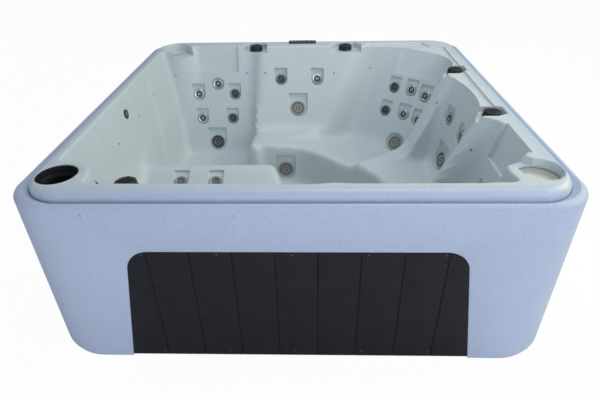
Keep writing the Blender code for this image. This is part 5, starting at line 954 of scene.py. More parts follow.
def standing_place(point, out):
    """Place at a point with its Z axis along out and its Y axis as far up as it goes."""
    out = np.array(out, float) / np.linalg.norm(out)
    up = np.array((0.0, 0.0, 1.0)) - out * out[2]
    up = up / np.linalg.norm(up)
    matrix = np.eye(4)
    matrix[:3, 0] = np.cross(up, out)
    matrix[:3, 1] = up
    matrix[:3, 2] = out
    matrix[:3, 3] = point
    return Matrix(matrix.tolist())


def wall_place(point):
    """Place on the basin wall nearest to a point, found by steps down the field's gradient."""
    spot = np.array([point], float)
    for _ in range(WALL_SEARCH_STEPS):
        slope = basin_slope(spot)
        away = outside_basin(*spot.T)[:, None]
        spot = spot - away * slope / np.sum(slope * slope, axis=1, keepdims=True)
    return standing_place(spot[0], -slope[0])


def lean_place(point, facing, lean):
    """Place on a leaning wall at its lip."""
    away_x, away_y = facing_vector(facing)
    return standing_place((point[0], point[1], RIM_HEIGHT), (away_x, away_y, lean))


def sunk(place, depth):
    """The same place moved back along its own Z axis."""
    return place @ Matrix.Translation((0.0, 0.0, -depth))


def jet_place(name):
    """Place of one jet on the floor of its pocket, from its joint."""
    joint = JOINTS[name]
    return standing_place(joint["pos_m"], joint["axis"])


def jet_size(name):
    """Sizes of one jet."""
    return LARGE_JET if name in LARGE_JETS else SMALL_JET


# ---------------------------------------------------------------- finishes

# Random shares at which a fleck starts and is full, the noise over which wear drifts, the clear coat's roughness,
# and the sockets of a Mix node that blends two colours
DARK_FLECKS = (0.80, 0.86)
LIGHT_FLECKS = (0.80, 0.88)
WEAR_DRIFT = (0.3, 0.7)
COAT_ROUGHNESS = 0.08
MIX_FIRST, MIX_SECOND, MIX_RESULT = 6, 7, 2


def wire(tree, kind, inputs=None, **settings):
    """Adds a node, sets it up, and links or sets its inputs."""
    node = tree.nodes.new(kind)
    for key, value in settings.items():
        setattr(node, key, value)
    for key, value in (inputs or {}).items():
        if isinstance(value, bpy.types.NodeSocket):
            tree.links.new(value, node.inputs[key])
        else:
            node.inputs[key].default_value = value
    return node


def computed(tree, operation, *values):
    """Output of a math node over sockets and numbers."""
    return wire(tree, "ShaderNodeMath", dict(enumerate(values)), operation=operation).outputs[0]


def ranged(tree, value, start, end, low=0.0, high=1.0):
    """A value between start and end, mapped to low and high and kept between them."""
    inputs = {"Value": value, "From Min": start, "From Max": end, "To Min": low, "To Max": high}
    return wire(tree, "ShaderNodeMapRange", inputs).outputs["Result"]


def shader_group(name, inputs, output, kind):
    """Empty shader group with a vector, the inputs of a table of defaults, and one output."""
    tree = bpy.data.node_groups.new(name, "ShaderNodeTree")
    tree.interface.new_socket(name="Vector", in_out="INPUT", socket_type="NodeSocketVector")
    for label, default in inputs.items():
        sort = "NodeSocketFloat" if isinstance(default, float) else "NodeSocketColor"
        tree.interface.new_socket(name=label, in_out="INPUT", socket_type=sort).default_value = default
    tree.interface.new_socket(name=output, in_out="OUTPUT", socket_type=kind)
    return tree, tree.nodes.new("NodeGroupInput").outputs, tree.nodes.new("NodeGroupOutput").inputs[0]


def fine_speckle():
    """Fine flecks: cells of a Voronoi pattern whose random value passes a share turn darker or lighter."""
    defaults = {"Base": (0.5, 0.5, 0.5, 1.0), "Scale": 260.0, "Dark": 0.7, "Light": 1.2, "Mottle": 0.06}
    tree, given, result = shader_group("fine_speckle", defaults, "Color", "NodeSocketColor")
    cells = wire(tree, "ShaderNodeTexVoronoi", {"Vector": given["Vector"], "Scale": given["Scale"]})
    parts = wire(tree, "ShaderNodeSeparateColor", {"Color": cells.outputs["Color"]}).outputs
    dark = ranged(tree, parts["Red"], *DARK_FLECKS, low=1.0, high=given["Dark"])
    light = ranged(tree, parts["Green"], *LIGHT_FLECKS, low=1.0, high=given["Light"])
    broad = wire(tree, "ShaderNodeTexNoise", {"Vector": given["Vector"], "Scale": 9.0, "Detail": 3.0})
    swing = computed(tree, "SUBTRACT", broad.outputs["Fac"], 0.5)
    swing = computed(tree, "MULTIPLY_ADD", swing, given["Mottle"], 1.0)
    level = computed(tree, "MULTIPLY", computed(tree, "MULTIPLY", dark, light), swing)
    scaled = wire(tree, "ShaderNodeVectorMath", {0: given["Base"], "Scale": level}, operation="SCALE")
    tree.links.new(scaled.outputs["Vector"], result)
    return tree


def surface_grain():
    """Moulded grain: the sum of a fine and a broad noise as a height."""
    defaults = {"Fine": 500.0, "Broad": 40.0, "Broad Share": 0.3}
    tree, given, result = shader_group("surface_grain", defaults, "Height", "NodeSocketFloat")
    fine = wire(tree, "ShaderNodeTexNoise", {"Vector": given["Vector"], "Scale": given["Fine"]}).outputs["Fac"]
    broad = wire(tree, "ShaderNodeTexNoise", {"Vector": given["Vector"], "Scale": given["Broad"]}).outputs["Fac"]
    tree.links.new(computed(tree, "MULTIPLY_ADD", broad, given["Broad Share"], fine), result)
    return tree


def handling_wear():
    """Handling wear: roughness that drifts between two values by a soft noise."""
    defaults = {"Scale": 14.0, "Smooth": 0.25, "Rough": 0.4}
    tree, given, result = shader_group("handling_wear", defaults, "Roughness", "NodeSocketFloat")
    noise = wire(tree, "ShaderNodeTexNoise", {"Vector": given["Vector"], "Scale": given["Scale"], "Detail": 4.0})
    tree.links.new(ranged(tree, noise.outputs["Fac"], *WEAR_DRIFT, given["Smooth"], given["Rough"]), result)
    return tree


def effect(tree, make, inputs):
    """Output of a shared effect's node; its group is made once and has its maker's name."""
    group = bpy.data.node_groups.get(make.__name__) or make()
    return wire(tree, "ShaderNodeGroup", inputs, node_tree=group).outputs[0]


def rim_distance(tree, spot):
    """The larger of a point's distances from the two upright middle planes."""
    parts = wire(tree, "ShaderNodeSeparateXYZ", {"Vector": spot}).outputs
    return computed(tree, "MAXIMUM", computed(tree, "ABSOLUTE", parts["X"]), computed(tree, "ABSOLUTE", parts["Y"]))


def bowl_distance(tree, spot):
    """A point's distance from the bowl's axis."""
    away = wire(tree, "ShaderNodeVectorMath", {0: spot, 1: (*BOWL_CENTRE, 0.0)}, operation="SUBTRACT")
    level = wire(tree, "ShaderNodeVectorMath", {0: away.outputs["Vector"], 1: (1.0, 1.0, 0.0)}, operation="MULTIPLY")
    return wire(tree, "ShaderNodeVectorMath", {0: level.outputs["Vector"]}, operation="LENGTH").outputs["Value"]


Look = namedtuple(
    "Look",
    "colour rough metallic speckle grain coat gloss tint",
    defaults=((0.3, 0.4), 0.0, (260.0, 0.9, 1.1, 0.05), (500.0, 40.0, 0.3, 0.0002), 0.0, 0.5, None),
)

# Finishes. A colour given by name is one of the settings. Roughness: least and most. Speckle: scale, darkest,
# lightest, mottle. Grain: fine scale, broad scale, share of the broad one, depth. Painted shade: a distance, where
# the painted shade starts and ends along it, and its colour.
LOOKS = {
    # The shell's acrylic, with a painted shade on the rim's outer roll.
    "speckled_acrylic": Look(
        "shell",
        (0.38, 0.48),
        speckle=(330.0, 0.90, 1.06, 0.04),
        grain=(260.0, 18.0, 0.8, 0.00012),
        coat=0.06,
        tint=(rim_distance, RIM_PAINTED_SHADE, "rim_band"),
    ),
    # Painted shade: the cabinet's colour is a bluer, darker copy of the shell's.
    "cabinet_plastic": Look(
        "skirt", (0.46, 0.56), speckle=(260.0, 0.92, 1.06, 0.06), grain=(420.0, 60.0, 0.6, 0.0004)
    ),
    "panel_plastic": Look(
        "panel", (0.52, 0.66), speckle=(420.0, 0.80, 1.30, 0.35), grain=(620.0, 90.0, 0.9, 0.0004), gloss=0.22
    ),
    "polished_steel": Look("steel", (0.16, 0.26), 1.0, (900.0, 0.96, 1.03, 0.10), (900.0, 50.0, 0.2, 0.00003)),
    # Steel painted darker: painted shade for dim reflections on some jet faces, and the dark knob rings.
    "smoked_steel": Look("smoked", (0.22, 0.34), 0.85, (900.0, 0.92, 1.08, 0.2), (900.0, 50.0, 0.2, 0.00003)),
    # Steel painted duller and browner for the weaker reflections of some jet faces.
    "satin_steel": Look((0.33, 0.33, 0.30), (0.38, 0.50), 0.6, (900.0, 0.90, 1.10, 0.25), (900.0, 50.0, 0.2, 0.00004)),
    # The bowl's steel is painted pale and almost without metal, a painted reflection that brightens its middle, with a
    # painted shade at its edge.
    "spun_steel": Look(
        (0.92, 0.95, 0.82),
        (0.42, 0.52),
        0.08,
        (700.0, 0.95, 1.04, 0.25),
        (700.0, 40.0, 0.2, 0.00003),
        tint=(bowl_distance, BOWL_PAINTED_SHADE, (0.13, 0.135, 0.13)),
    ),
    "shade_plastic": Look((0.15, 0.155, 0.15), (0.40, 0.52), speckle=(700.0, 0.9, 1.1, 0.2)),
    "inset_plastic": Look((0.035, 0.038, 0.042), (0.34, 0.46), speckle=(700.0, 0.9, 1.2, 0.2)),
    "collar_plastic": Look((0.46, 0.51, 0.53), (0.34, 0.44), speckle=(420.0, 0.92, 1.06, 0.06)),
    "smoked_lens": Look((0.10, 0.13, 0.12), (0.10, 0.18), speckle=(300.0, 0.95, 1.05, 0.3)),
    "display_glass": Look((0.016, 0.022, 0.028), (0.08, 0.14), speckle=(300.0, 0.97, 1.02, 0.1)),
    "black_plastic": Look("knob", (0.34, 0.46), speckle=(600.0, 0.8, 1.5, 0.3), gloss=0.35),
    "knob_cap": Look((0.022, 0.023, 0.025), (0.55, 0.70), speckle=(500.0, 0.9, 1.1, 0.15), gloss=0.15),
    "grey_cap": Look((0.20, 0.21, 0.22), (0.30, 0.42), speckle=(500.0, 0.9, 1.1, 0.15)),
    "pipe_plastic": Look((0.50, 0.53, 0.55), (0.35, 0.5), speckle=(300.0, 0.95, 1.04, 0.08)),
    "base_plastic": Look((0.022, 0.023, 0.025), (0.5, 0.65)),
    "box_plastic": Look((0.12, 0.135, 0.15), (0.4, 0.55)),
    "motor_paint": Look((0.05, 0.06, 0.075), (0.35, 0.5)),
    "pump_plastic": Look((0.02, 0.021, 0.023), (0.4, 0.55)),
    "filter_paper": Look((0.72, 0.75, 0.77), (0.8, 0.9)),
}


def rgba(colour):
    """A colour with its alpha; one given by name is read from the settings."""
    chosen = getattr(bpy.context.scene.tub_colours, colour) if isinstance(colour, str) else colour
    return (*chosen, 1.0)


def tinted(tree, spot, base, tint):
    """Colour that turns from the base to the painted shade's colour between its two distances."""
    distance, reach, colour = tint
    mixed = wire(tree, "ShaderNodeMix", {"Factor": ranged(tree, distance(tree, spot), *reach)}, data_type="RGBA")
    mixed.inputs[MIX_FIRST].default_value = base
    mixed.inputs[MIX_SECOND].default_value = rgba(colour)
    return mixed.outputs[MIX_RESULT]


def finish(name):
    """Material of one look: speckled colour, drifting roughness and a moulded grain on one Principled shader."""
    known = bpy.data.materials.get(name)
    if known:
        return known
    look = LOOKS[name]
    made = bpy.data.materials.new(name)
    made.use_nodes = True
    tree = made.node_tree
    shader = tree.nodes["Principled BSDF"].inputs
    shader["Metallic"].default_value = look.metallic
    shader["Coat Weight"].default_value = look.coat
    shader["Coat Roughness"].default_value = COAT_ROUGHNESS
    shader["Specular IOR Level"].default_value = look.gloss
    spot = wire(tree, "ShaderNodeTexCoord").outputs["Object"]
    base = rgba(look.colour)
    # Painted shade: where a look has one, its colour darkens along a distance.
    if look.tint:
        base = tinted(tree, spot, base, look.tint)
    flecks = dict(zip(("Scale", "Dark", "Light", "Mottle"), look.speckle))
    noises = dict(zip(("Fine", "Broad", "Broad Share"), look.grain))
    colour = effect(tree, fine_speckle, {"Vector": spot, "Base": base, **flecks})
    rough = effect(tree, handling_wear, {"Vector": spot, "Smooth": look.rough[0], "Rough": look.rough[1]})
    height = effect(tree, surface_grain, {"Vector": spot, **noises})
    bump = wire(tree, "ShaderNodeBump", {"Height": height, "Strength": 1.0, "Distance": look.grain[3]})
    tree.links.new(colour, shader["Base Color"])
    tree.links.new(rough, shader["Roughness"])
    tree.links.new(bump.outputs["Normal"], shader["Normal"])
    return made


# ---------------------------------------------------------------- the moulded shell


def even_rings(angles, lip, grow, count):
    """Grid of basin points: along each spoke the rings lie at even arc lengths from the lip to near the centre."""
    shares = np.linspace(1.0, 0.0, SPOKE_SAMPLES)
    radii = lip[:, None] * shares[None, :]
    x, y = about_centre(angles[:, None], radii)
    z = basin_height(x, y, grow)
    run = np.hypot(np.diff(radii, axis=1), np.diff(z, axis=1))
    length = np.concatenate([np.zeros((len(angles), 1)), np.cumsum(run, axis=1)], axis=1)
    wanted = np.arange(count) / count
    chosen = np.stack([np.interp(wanted * row[-1], row, radius) for row, radius in zip(length, radii)])
    x, y = about_centre(angles[:, None], chosen)
    return np.stack([x, y, basin_height(x, y, grow)], axis=-1).transpose(1, 0, 2)


def relaxed(grid):
    """Evens out a grid on the basin: each point moves towards its neighbours' mean, then back onto the surface."""
    for _ in range(RELAX_ROUNDS):
        mean = (np.roll(grid, 1, axis=1) + np.roll(grid, -1, axis=1))[1:-1] + grid[:-2] + grid[2:]
        inner = grid[1:-1] + (0.25 * mean - grid[1:-1]) * RELAX_SHARE
        flat = inner.reshape(-1, 3)
        slope = basin_slope(flat)
        away = outside_basin(*flat.T)[:, None]
        move = away * slope / np.maximum(np.sum(slope * slope, axis=1, keepdims=True), LEAST_SLOPE)
        flat = flat - np.clip(move, -LARGEST_MOVE, LARGEST_MOVE)
        flat[:, 2] = np.minimum(flat[:, 2], grid[0, 0, 2])
        grid = np.concatenate([grid[:1], flat.reshape(inner.shape), grid[-1:]])
    return grid


def plan_loop(radii, angles, height):
    """One closed loop about the basin's centre."""
    return np.column_stack([*about_centre(angles, radii), np.full(len(angles), height)])


def rim_radii(angles, half):
    """Distance from the basin's centre to the rim's rounded square with a half width, for each angle."""
    return rounded_square_radius(angles, half, RIM_CORNER_RADIUS - RIM_HALF + half)


def shell_part():
    """Closed grid of the shell: out over the rounded rim, down the basin, and back under it one wall away."""
    angles = corner_spread_angles(sizes().spokes)
    lip_round = sizes().lip_round
    foot = LEDGE_HEIGHT + SEAT_GAP
    roll_foot = RIM_FOOT_HALF - RIM_FOOT_FILLET
    crown = RIM_HEIGHT - sizes().rim_rise
    rows = [(RIM_FOOT_HALF - rise, foot + run) for run, rise in arc(RIM_FOOT_FILLET, steps=4)]
    rows += [(roll_foot - sizes().rim_run * run, crown + sizes().rim_rise * rise) for run, rise in arc(1.0, steps=10)]
    loops = [plan_loop(rim_radii(angles, half), angles, height) for half, height in rows]
    lip = lip_radii(angles, RIM_HEIGHT - lip_round, 0.0)
    outer = rim_radii(angles, rows[-1][0])
    for share in RIM_TOP_SHARES:
        loops.append(plan_loop(outer + (lip + lip_round - outer) * share, angles, RIM_HEIGHT))
    for run, rise in arc(lip_round, steps=6)[:-1]:
        loops.append(plan_loop(lip + lip_round - rise, angles, RIM_HEIGHT - run))
    inside = even_rings(angles, lip, 0.0, sizes().rings)
    inside[0, :, 2] = RIM_HEIGHT - lip_round
    under_level = RIM_HEIGHT - RIM_DEPTH
    under_lip = lip_radii(angles, under_level, BASIN_WALL)
    under = even_rings(angles, under_lip, BASIN_WALL, UNDER_RINGS)
    under[0, :, 2] = under_level
    step = rim_radii(angles, RIM_STEP_HALF)
    tail = [plan_loop(step, angles, under_level), plan_loop(step, angles, foot)]
    top = np.concatenate([np.stack(loops), relaxed(inside)])
    return shell_faces(top, np.concatenate([under[::-1], np.stack(tail)]))


def shell_faces(top, bottom):
    """Faces of the shell: both grids, the band that joins them at the outer edge, and a fan at each middle."""
    columns = top.shape[1]
    top_count = top.shape[0] * columns
    middle = np.array([BASIN_CENTRE[0]]), np.array([BASIN_CENTRE[1]])
    top_middle = [*BASIN_CENTRE, float(basin_height(*middle, 0.0)[0])]
    low_middle = [*BASIN_CENTRE, float(basin_height(*middle, BASIN_WALL)[0])]
    points = np.concatenate([top.reshape(-1, 3), bottom.reshape(-1, 3), [top_middle, low_middle]])
    top_point = len(points) - 2
    low_point = len(points) - 1
    faces = grid_faces(top.shape[0], columns).tolist()
    faces += grid_faces(bottom.shape[0], columns, top_count).tolist()
    column = np.arange(columns)
    following = (column + 1) % columns
    last = top_count + (bottom.shape[0] - 1) * columns
    faces += np.column_stack([last + column, last + following, following, column]).tolist()
    inner = top_count - columns
    faces += np.column_stack([inner + column, inner + following, np.full(columns, top_point)]).tolist()
    faces += np.column_stack([top_count + following, top_count + column, np.full(columns, low_point)]).tolist()
    return points, faces


def pocket_part(name):
    """Cutter of one jet's pocket: a round foot that runs up to a square top, with rounded edges."""
    jet = jet_size(name)
    half = jet["half"]
    if name in ROUND_POCKETS:
        outline = rounded_outline(rectangle(half, half), half - EPS_RISE, steps=8)
    else:
        corners = ((half, jet["top"]), (-half, jet["top"]), (-half, -half), (half, -half))
        radii = (POCKET_CORNER, POCKET_CORNER, half - EPS_RISE, half - EPS_RISE)
        outline = rounded_outline(corners, radii, steps=8)
    rows = cutter_rows(jet["depth"], POCKET_OUT, CUT_FOOT, sizes().pocket_round)
    return placed(closed_grid(swept(outline, rows)), jet_place(name))


def disc_part(radius, low, high, place, segments):
    """Straight round cutter in a place."""
    return placed(closed_grid(turned(((radius, low), (radius, high)), segments)), place)


def well_part(centre, radius, edge):
    """Cutter of one round well in the rim: eased foot, and an edge that flares at the rim's height."""
    floor = RIM_HEIGHT - WELL_DEPTH
    rows = [(radius - run, floor + rise) for run, rise in WELL_FOOT]
    rows += [(radius + run, RIM_HEIGHT - edge + rise + EPS_RISE) for run, rise in arc(edge, steps=5)]
    rows.append((radius + edge, RIM_HEIGHT + CUT_OVERRUN))
    return placed(closed_grid(turned(rows, segments=64)), upright(*centre, 0.0))


def notch_part(name):
    """Cutter of one knob's notch, which flares out over the basin, or of the low knob's spot face."""
    facing, half = NOTCHES[name]
    x, y, floor = JOINTS[name]["pos_m"]
    if not half:
        return disc_part(SPOT_FACE_RADIUS, floor, floor + SPOT_FACE_REACH, upright(x, y, 0.0), segments=48)
    narrow = half * NOTCH_BACK_SHARE
    flare = NOTCH_FLARE - NOTCH_BACK
    corners = ((-NOTCH_BACK, -narrow), (flare, -half), (NOTCH_REACH, -half))
    corners += ((NOTCH_REACH, half), (flare, half), (-NOTCH_BACK, narrow))
    rows = cutter_rows(RIM_HEIGHT - floor, CUT_OVERRUN, NOTCH_FOOT, sizes().notch_round)
    notch = swept(rounded_outline(corners, NOTCH_CORNER, steps=5), rows)
    return placed(closed_grid(notch), facing_place(x, y, floor, facing))


def recess_part(point, facing, lean, depth):
    """Cutter of one head recess, parallel to its seat's back and open at the rim."""
    corners = rectangle(RECESS_HALF, 0.5 * (RECESS_HEIGHT + CUT_OVERRUN), (0.0, 0.5 * (CUT_OVERRUN - RECESS_HEIGHT)))
    rows = cutter_rows(depth, RECESS_OUT, CUT_FOOT, RECESS_EDGE)
    recess = swept(rounded_outline(corners, RECESS_CORNER, steps=4), rows)
    return placed(closed_grid(recess), sunk(lean_place(point, facing, lean), depth))


def deck_part(outline, depth, edge, centre=(0.0, 0.0), facing=0.0):
    """Cutter of a lowered piece of the rim: outline carried up from its floor and flared at the rim."""
    deck = swept(outline, cutter_rows(depth, CUT_OVERRUN, CUT_FOOT, edge))
    return placed(closed_grid(deck), facing_place(*centre, RIM_HEIGHT - depth, facing))


def dish_outline():
    """Outline of the open dish: round behind, drawing in to its mouth over the basin."""
    side = (
        ((-DISH_RADIUS, -DISH_RADIUS), DISH_RADIUS - EPS_RISE),
        ((0.0, -DISH_RADIUS), DISH_BEND_ROUNDS[0]),
        ((DISH_MOUTH_START, -DISH_MOUTH_HALF), DISH_BEND_ROUNDS[1]),
        ((DISH_MOUTH_REACH, -DISH_MOUTH_HALF), NOTCH_CORNER),
    )
    corners = [corner for corner, _ in side] + [(x, -y) for (x, y), _ in reversed(side)]
    radii = [radius for _, radius in side] + [radius for _, radius in reversed(side)]
    return rounded_outline(corners, radii, steps=8)


def deck_cutters():
    """Cutters of the shelf, the wells and the jet pockets."""
    wells = [
        deck_part(rounded_outline(SHELF_OUTLINE, SHELF_ROUND, steps=4), SHELF_DEPTH, SHELF_EDGE),
        well_part(FILTER_WELL_CENTRE, FILTER_WELL_RADIUS, FILTER_WELL_EDGE),
        well_part(BOWL_CENTRE, BOWL_WELL_RADIUS, sizes().notch_round),
    ]
    return wells + [pocket_part(name) for name in JETS]


def side_cutters():
    """Cutters of the knob notches, the head recesses, the dish and the bowl's ridge."""
    edge = sizes().notch_round
    reach = 0.5 * BOWL_RIDGE_REACH
    ridge = rounded_outline(rectangle(reach, BOWL_RIDGE_HALF, (reach, 0.0)), NOTCH_CORNER, steps=5)
    decks = [
        deck_part(dish_outline(), DISH_DEPTH, edge, DISH_CENTRE, -SPOUT_FACING),
        deck_part(ridge, BOWL_RIDGE_DEPTH, edge, BOWL_CENTRE, 180.0 - SPOUT_FACING),
    ]
    return [notch_part(name) for name in NOTCHES] + [recess_part(*recess) for recess in HEAD_RECESSES] + decks


def hole_cutters():
    """Cutters of the throats, the valve and jet holes, and the seats of light, drain and suction covers."""
    floor = RIM_HEIGHT - WELL_DEPTH
    under = RIM_HEIGHT - RIM_DEPTH - CUT_OVERRUN
    holes = [
        disc_part(FILTER_THROAT_RADIUS, under, floor + EPS_RISE, upright(*FILTER_CENTRE, 0.0), segments=48),
        disc_part(BOWL_THROAT_RADIUS, under, floor + EPS_RISE, upright(*BOWL_CENTRE, 0.0), segments=48),
    ]
    for name in NOTCHES:
        x, y, top = JOINTS[name]["pos_m"]
        place = upright(x, y, 0.0)
        holes.append(disc_part(VALVE_HOLE_RADIUS, under - CUT_OVERRUN, top + EPS_RISE, place, segments=24))
    for name in JETS:
        holes.append(disc_part(jet_size(name)["hole"], -HOLE_LENGTH, EPS_RISE, jet_place(name), segments=24))
    for point, radius in (*SEAT_CUTS, *((point, SUCTION_SEAT_RADIUS) for point in SUCTION_POINTS.values())):
        holes.append(disc_part(radius, 0.0, POCKET_OUT, sunk(wall_place(point), SEAT_CUT_DEPTH), segments=40))
    return holes


def spout_cutters():
    """Cutter of the opening from the basin into the filter's well."""
    start, end = SPOUT_CUT
    corners = rectangle(0.5 * (end - start), SPOUT_HALF, (0.5 * (start + end), 0.0))
    spout = swept(rounded_outline(corners, SPOUT_CORNER, steps=2), [(0.0, height) for height in SPOUT_HEIGHTS])
    return [placed(closed_grid(spout), facing_place(*FILTER_CENTRE, 0.0, SPOUT_FACING))]


def make_shell():
    """The moulded shell with its pockets, notches, recesses, wells, dish and shelf."""
    shell = object_of("shell_skin", shell_part())
    for cutters in (deck_cutters(), side_cutters(), hole_cutters(), spout_cutters()):
        cut(shell, cutters)
    finished(shell, ["speckled_acrylic"], stands_for=("tub_shell",), degrees=SHELL_SMOOTH)


# ---------------------------------------------------------------- cabinet and access panel


def square_ring(half, corner, height):
    """One loop round the cabinet: a rounded square at a height."""
    spots, _ = rounded_outline(rectangle(half, half), corner, steps=14)
    return np.column_stack([spots, np.full(len(spots), height)])


def raised(loop, part=1.0):
    """Lifts a loop towards the cabinet's corners: part * rise * share^2 * (3 - 2 share) of the nearer distance."""
    near = np.minimum(np.abs(loop[:, 0]), np.abs(loop[:, 1]))
    share = np.clip((near - LEDGE_RISE_FROM) / (LEDGE_RISE_TO - LEDGE_RISE_FROM), 0.0, 1.0)
    lifted = loop.copy()
    lifted[:, 2] += part * LEDGE_RISE * share**2 * (3.0 - 2.0 * share)
    return lifted


def skirt_part():
    """Closed ring of the cabinet: its section carried round a square whose corners widen towards the foot."""
    edge = sizes().ledge_round
    inner = OUTER_HALF - SKIRT_WALL
    inner_corner = SKIRT_CORNER - SKIRT_WALL
    foot_corner = SKIRT_CORNER + FOOT_CORNER_GROWTH
    flange_corner = foot_corner - OUTER_HALF + FLANGE_HALF
    ledge_corner = SKIRT_CORNER - OUTER_HALF + LEDGE_INNER_HALF
    ledge_under = LEDGE_HEIGHT - LEDGE_THICK
    crease = RIM_FOOT_HALF + LEDGE_GAP
    crease_corner = RIM_CORNER_RADIUS - RIM_HALF + crease
    loops = []
    for height in np.linspace(0.0, FOOT_CORNER_HEIGHT, num=7):
        corner = SKIRT_CORNER + FOOT_CORNER_GROWTH * (1.0 - height / FOOT_CORNER_HEIGHT) ** 2
        loops.append(square_ring(OUTER_HALF, corner, height))
    for run, rise in arc(edge, steps=7):
        loops.append(raised(square_ring(OUTER_HALF - run, SKIRT_CORNER, LEDGE_HEIGHT - edge + rise)))
    loops.append(raised(square_ring(crease, crease_corner, LEDGE_HEIGHT), CREASE_RISE_SHARE))
    rows = (
        (crease, crease_corner, LEDGE_HEIGHT),
        (LEDGE_INNER_HALF, ledge_corner, LEDGE_HEIGHT),
        (LEDGE_INNER_HALF, ledge_corner, ledge_under),
        (inner - edge, inner_corner, ledge_under),
        (inner, inner_corner, ledge_under - edge),
        (inner, inner_corner, FOOT_CORNER_HEIGHT),
        (inner, foot_corner - SKIRT_WALL, FLANGE_THICK),
        (FLANGE_HALF, flange_corner, FLANGE_THICK),
        (FLANGE_HALF, flange_corner, 0.0),
    )
    return ring_grid(np.stack(loops + [square_ring(*row) for row in rows]))


def panel_outline(grow, lower=0.0):
    """Outline of the access panel: wider and square at the foot, with rounded top corners."""
    foot = PANEL_BOTTOM - lower
    corners = ((-PANEL_BOTTOM_HALF, foot), (PANEL_BOTTOM_HALF, foot), (PANEL_TOP_HALF, PANEL_TOP))
    corners += ((-PANEL_TOP_HALF, PANEL_TOP),)
    radii = (PANEL_FOOT_CORNER, PANEL_FOOT_CORNER, PANEL_CORNER, PANEL_CORNER)
    spots, normals = rounded_outline(corners, radii, steps=12)
    return spots + normals * grow, normals


def front_place(depth=0.0, x=0.0, z=0.0):
    """Place on the cabinet's front, sunk by a depth: X along it, Y up and Z out of it."""
    face = Matrix(((1.0, 0.0, 0.0, 0.0), (0.0, 0.0, -1.0, -OUTER_HALF), (0.0, 1.0, 0.0, 0.0), (0.0, 0.0, 0.0, 1.0)))
    return sunk(face, depth) @ Matrix.Translation((x, z, 0.0))


def make_skirt():
    """The cabinet skirt with its framed access opening, drain opening and two dimples."""
    skirt = object_of("skirt_skin", skirt_part())
    depth = PANEL_RECESS + PANEL_THICK + SEAT_GAP
    rebate = panel_outline(PANEL_GAP, PANEL_BOTTOM + CUT_OVERRUN)
    rebate = swept(rebate, cutter_rows(depth, CUT_OVERRUN, REBATE_FOOT, REBATE_EDGE))
    dimple = [(DIMPLE_RADIUS * share, DIMPLE_DEPTH * rise) for share, rise in DIMPLE_ROWS]
    dimple = closed_grid(turned([*dimple, (dimple[-1][0], CUT_OVERRUN)], segments=32))
    recesses = [placed(closed_grid(rebate), front_place(depth))]
    recesses += [placed(dimple, front_place(DIMPLE_DEPTH, *spot)) for spot in DIMPLES]
    spots, normals = panel_outline(-PANEL_LAP)
    spots[:, 1] = np.maximum(spots[:, 1], PANEL_SILL)
    opening = swept((spots, 0.0 * normals), ((0.0, -SKIRT_WALL - CUT_OVERRUN), (0.0, CUT_OVERRUN)))
    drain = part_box("drain_cap")
    x = 0.5 * (drain[0].x + drain[1].x)
    z = 0.5 * (drain[0].z + drain[1].z)
    place = Matrix(((1.0, 0.0, 0.0, x), (0.0, 0.0, 1.0, 0.0), (0.0, -1.0, 0.0, z), (0.0, 0.0, 0.0, 1.0)))
    ends = (OUTER_HALF - SKIRT_WALL - CUT_OVERRUN, OUTER_HALF + CUT_OVERRUN)
    cut(skirt, recesses)
    hole = disc_part(DRAIN_HOLE_RADIUS, *ends, place, segments=40)
    cut(skirt, [placed(closed_grid(opening), front_place()), hole])
    finished(skirt, ["cabinet_plastic"], stands_for=("cabinet_skirt",))


def make_panel():
    """The access panel: rounded front edge and upright V grooves with eased shoulders."""
    sheet = swept(panel_outline(0.0), plate_rows(PANEL_THICK, PANEL_EDGE, steps=4))
    panel = object_of("panel_sheet", placed(closed_grid(sheet), front_place(PANEL_RECESS + PANEL_THICK)))
    section = np.array(GROOVE_SECTION) * (GROOVE_HALF, GROOVE_DEPTH)
    grooves = []
    for index in range(GROOVE_COUNT):
        x = section[:, 0] + (GROOVE_FIRST_X + GROOVE_PITCH * index)
        loops = [np.column_stack([x, np.full(len(x), z), section[:, 1]]) for z in GROOVE_ENDS]
        grooves.append(placed(closed_grid(np.stack(loops)), front_place(PANEL_RECESS)))
    cut(panel, grooves)
    finished(panel, ["panel_plastic"], stands_for=("access_panel",))


def screw_part(radius, place):
    """Domed screw head with a cross recess: the dome is height * cos of the radius share, less the cross."""
    angles = np.linspace(0.0, 2.0 * math.pi, SCREW_SEGMENTS, endpoint=False)
    foot = np.full(SCREW_SEGMENTS, -SCREW_PROUD)
    loops = [np.column_stack([np.cos(angles) * radius, np.sin(angles) * radius, foot])]
    for share in SCREW_SHARES:
        x = np.cos(angles) * share
        y = np.sin(angles) * share
        arm = np.minimum(np.abs(x), np.abs(y)) < CROSS_HALF
        reach = np.maximum(np.abs(x), np.abs(y)) < CROSS_REACH
        level = SCREW_PROUD * (math.cos(share * SCREW_DOME * math.pi) - np.where(arm & reach, CROSS_DEPTH, 0.0))
        loops.append(np.column_stack([x * radius, y * radius, level]))
    return placed(closed_grid(np.stack(loops)), place)


def make_screws():
    """The screws of the access panel and the two in the cabinet's dimples."""
    spots = [(SCREW_FIRST_X + SCREW_PITCH * index, z) for z in SCREW_ROWS for index in range(SCREW_COUNT)]
    parts = [screw_part(SCREW_RADIUS, front_place(PANEL_RECESS, *spot)) for spot in spots]
    finished(object_of("panel_screws", joined(parts)), ["inset_plastic"])
    parts = [screw_part(0.5 * DIMPLE_RADIUS, front_place(DIMPLE_DEPTH, *spot)) for spot in DIMPLES]
    finished(object_of("skirt_screws", joined(parts)), ["polished_steel"])


# ---------------------------------------------------------------- jets, knobs and other fittings


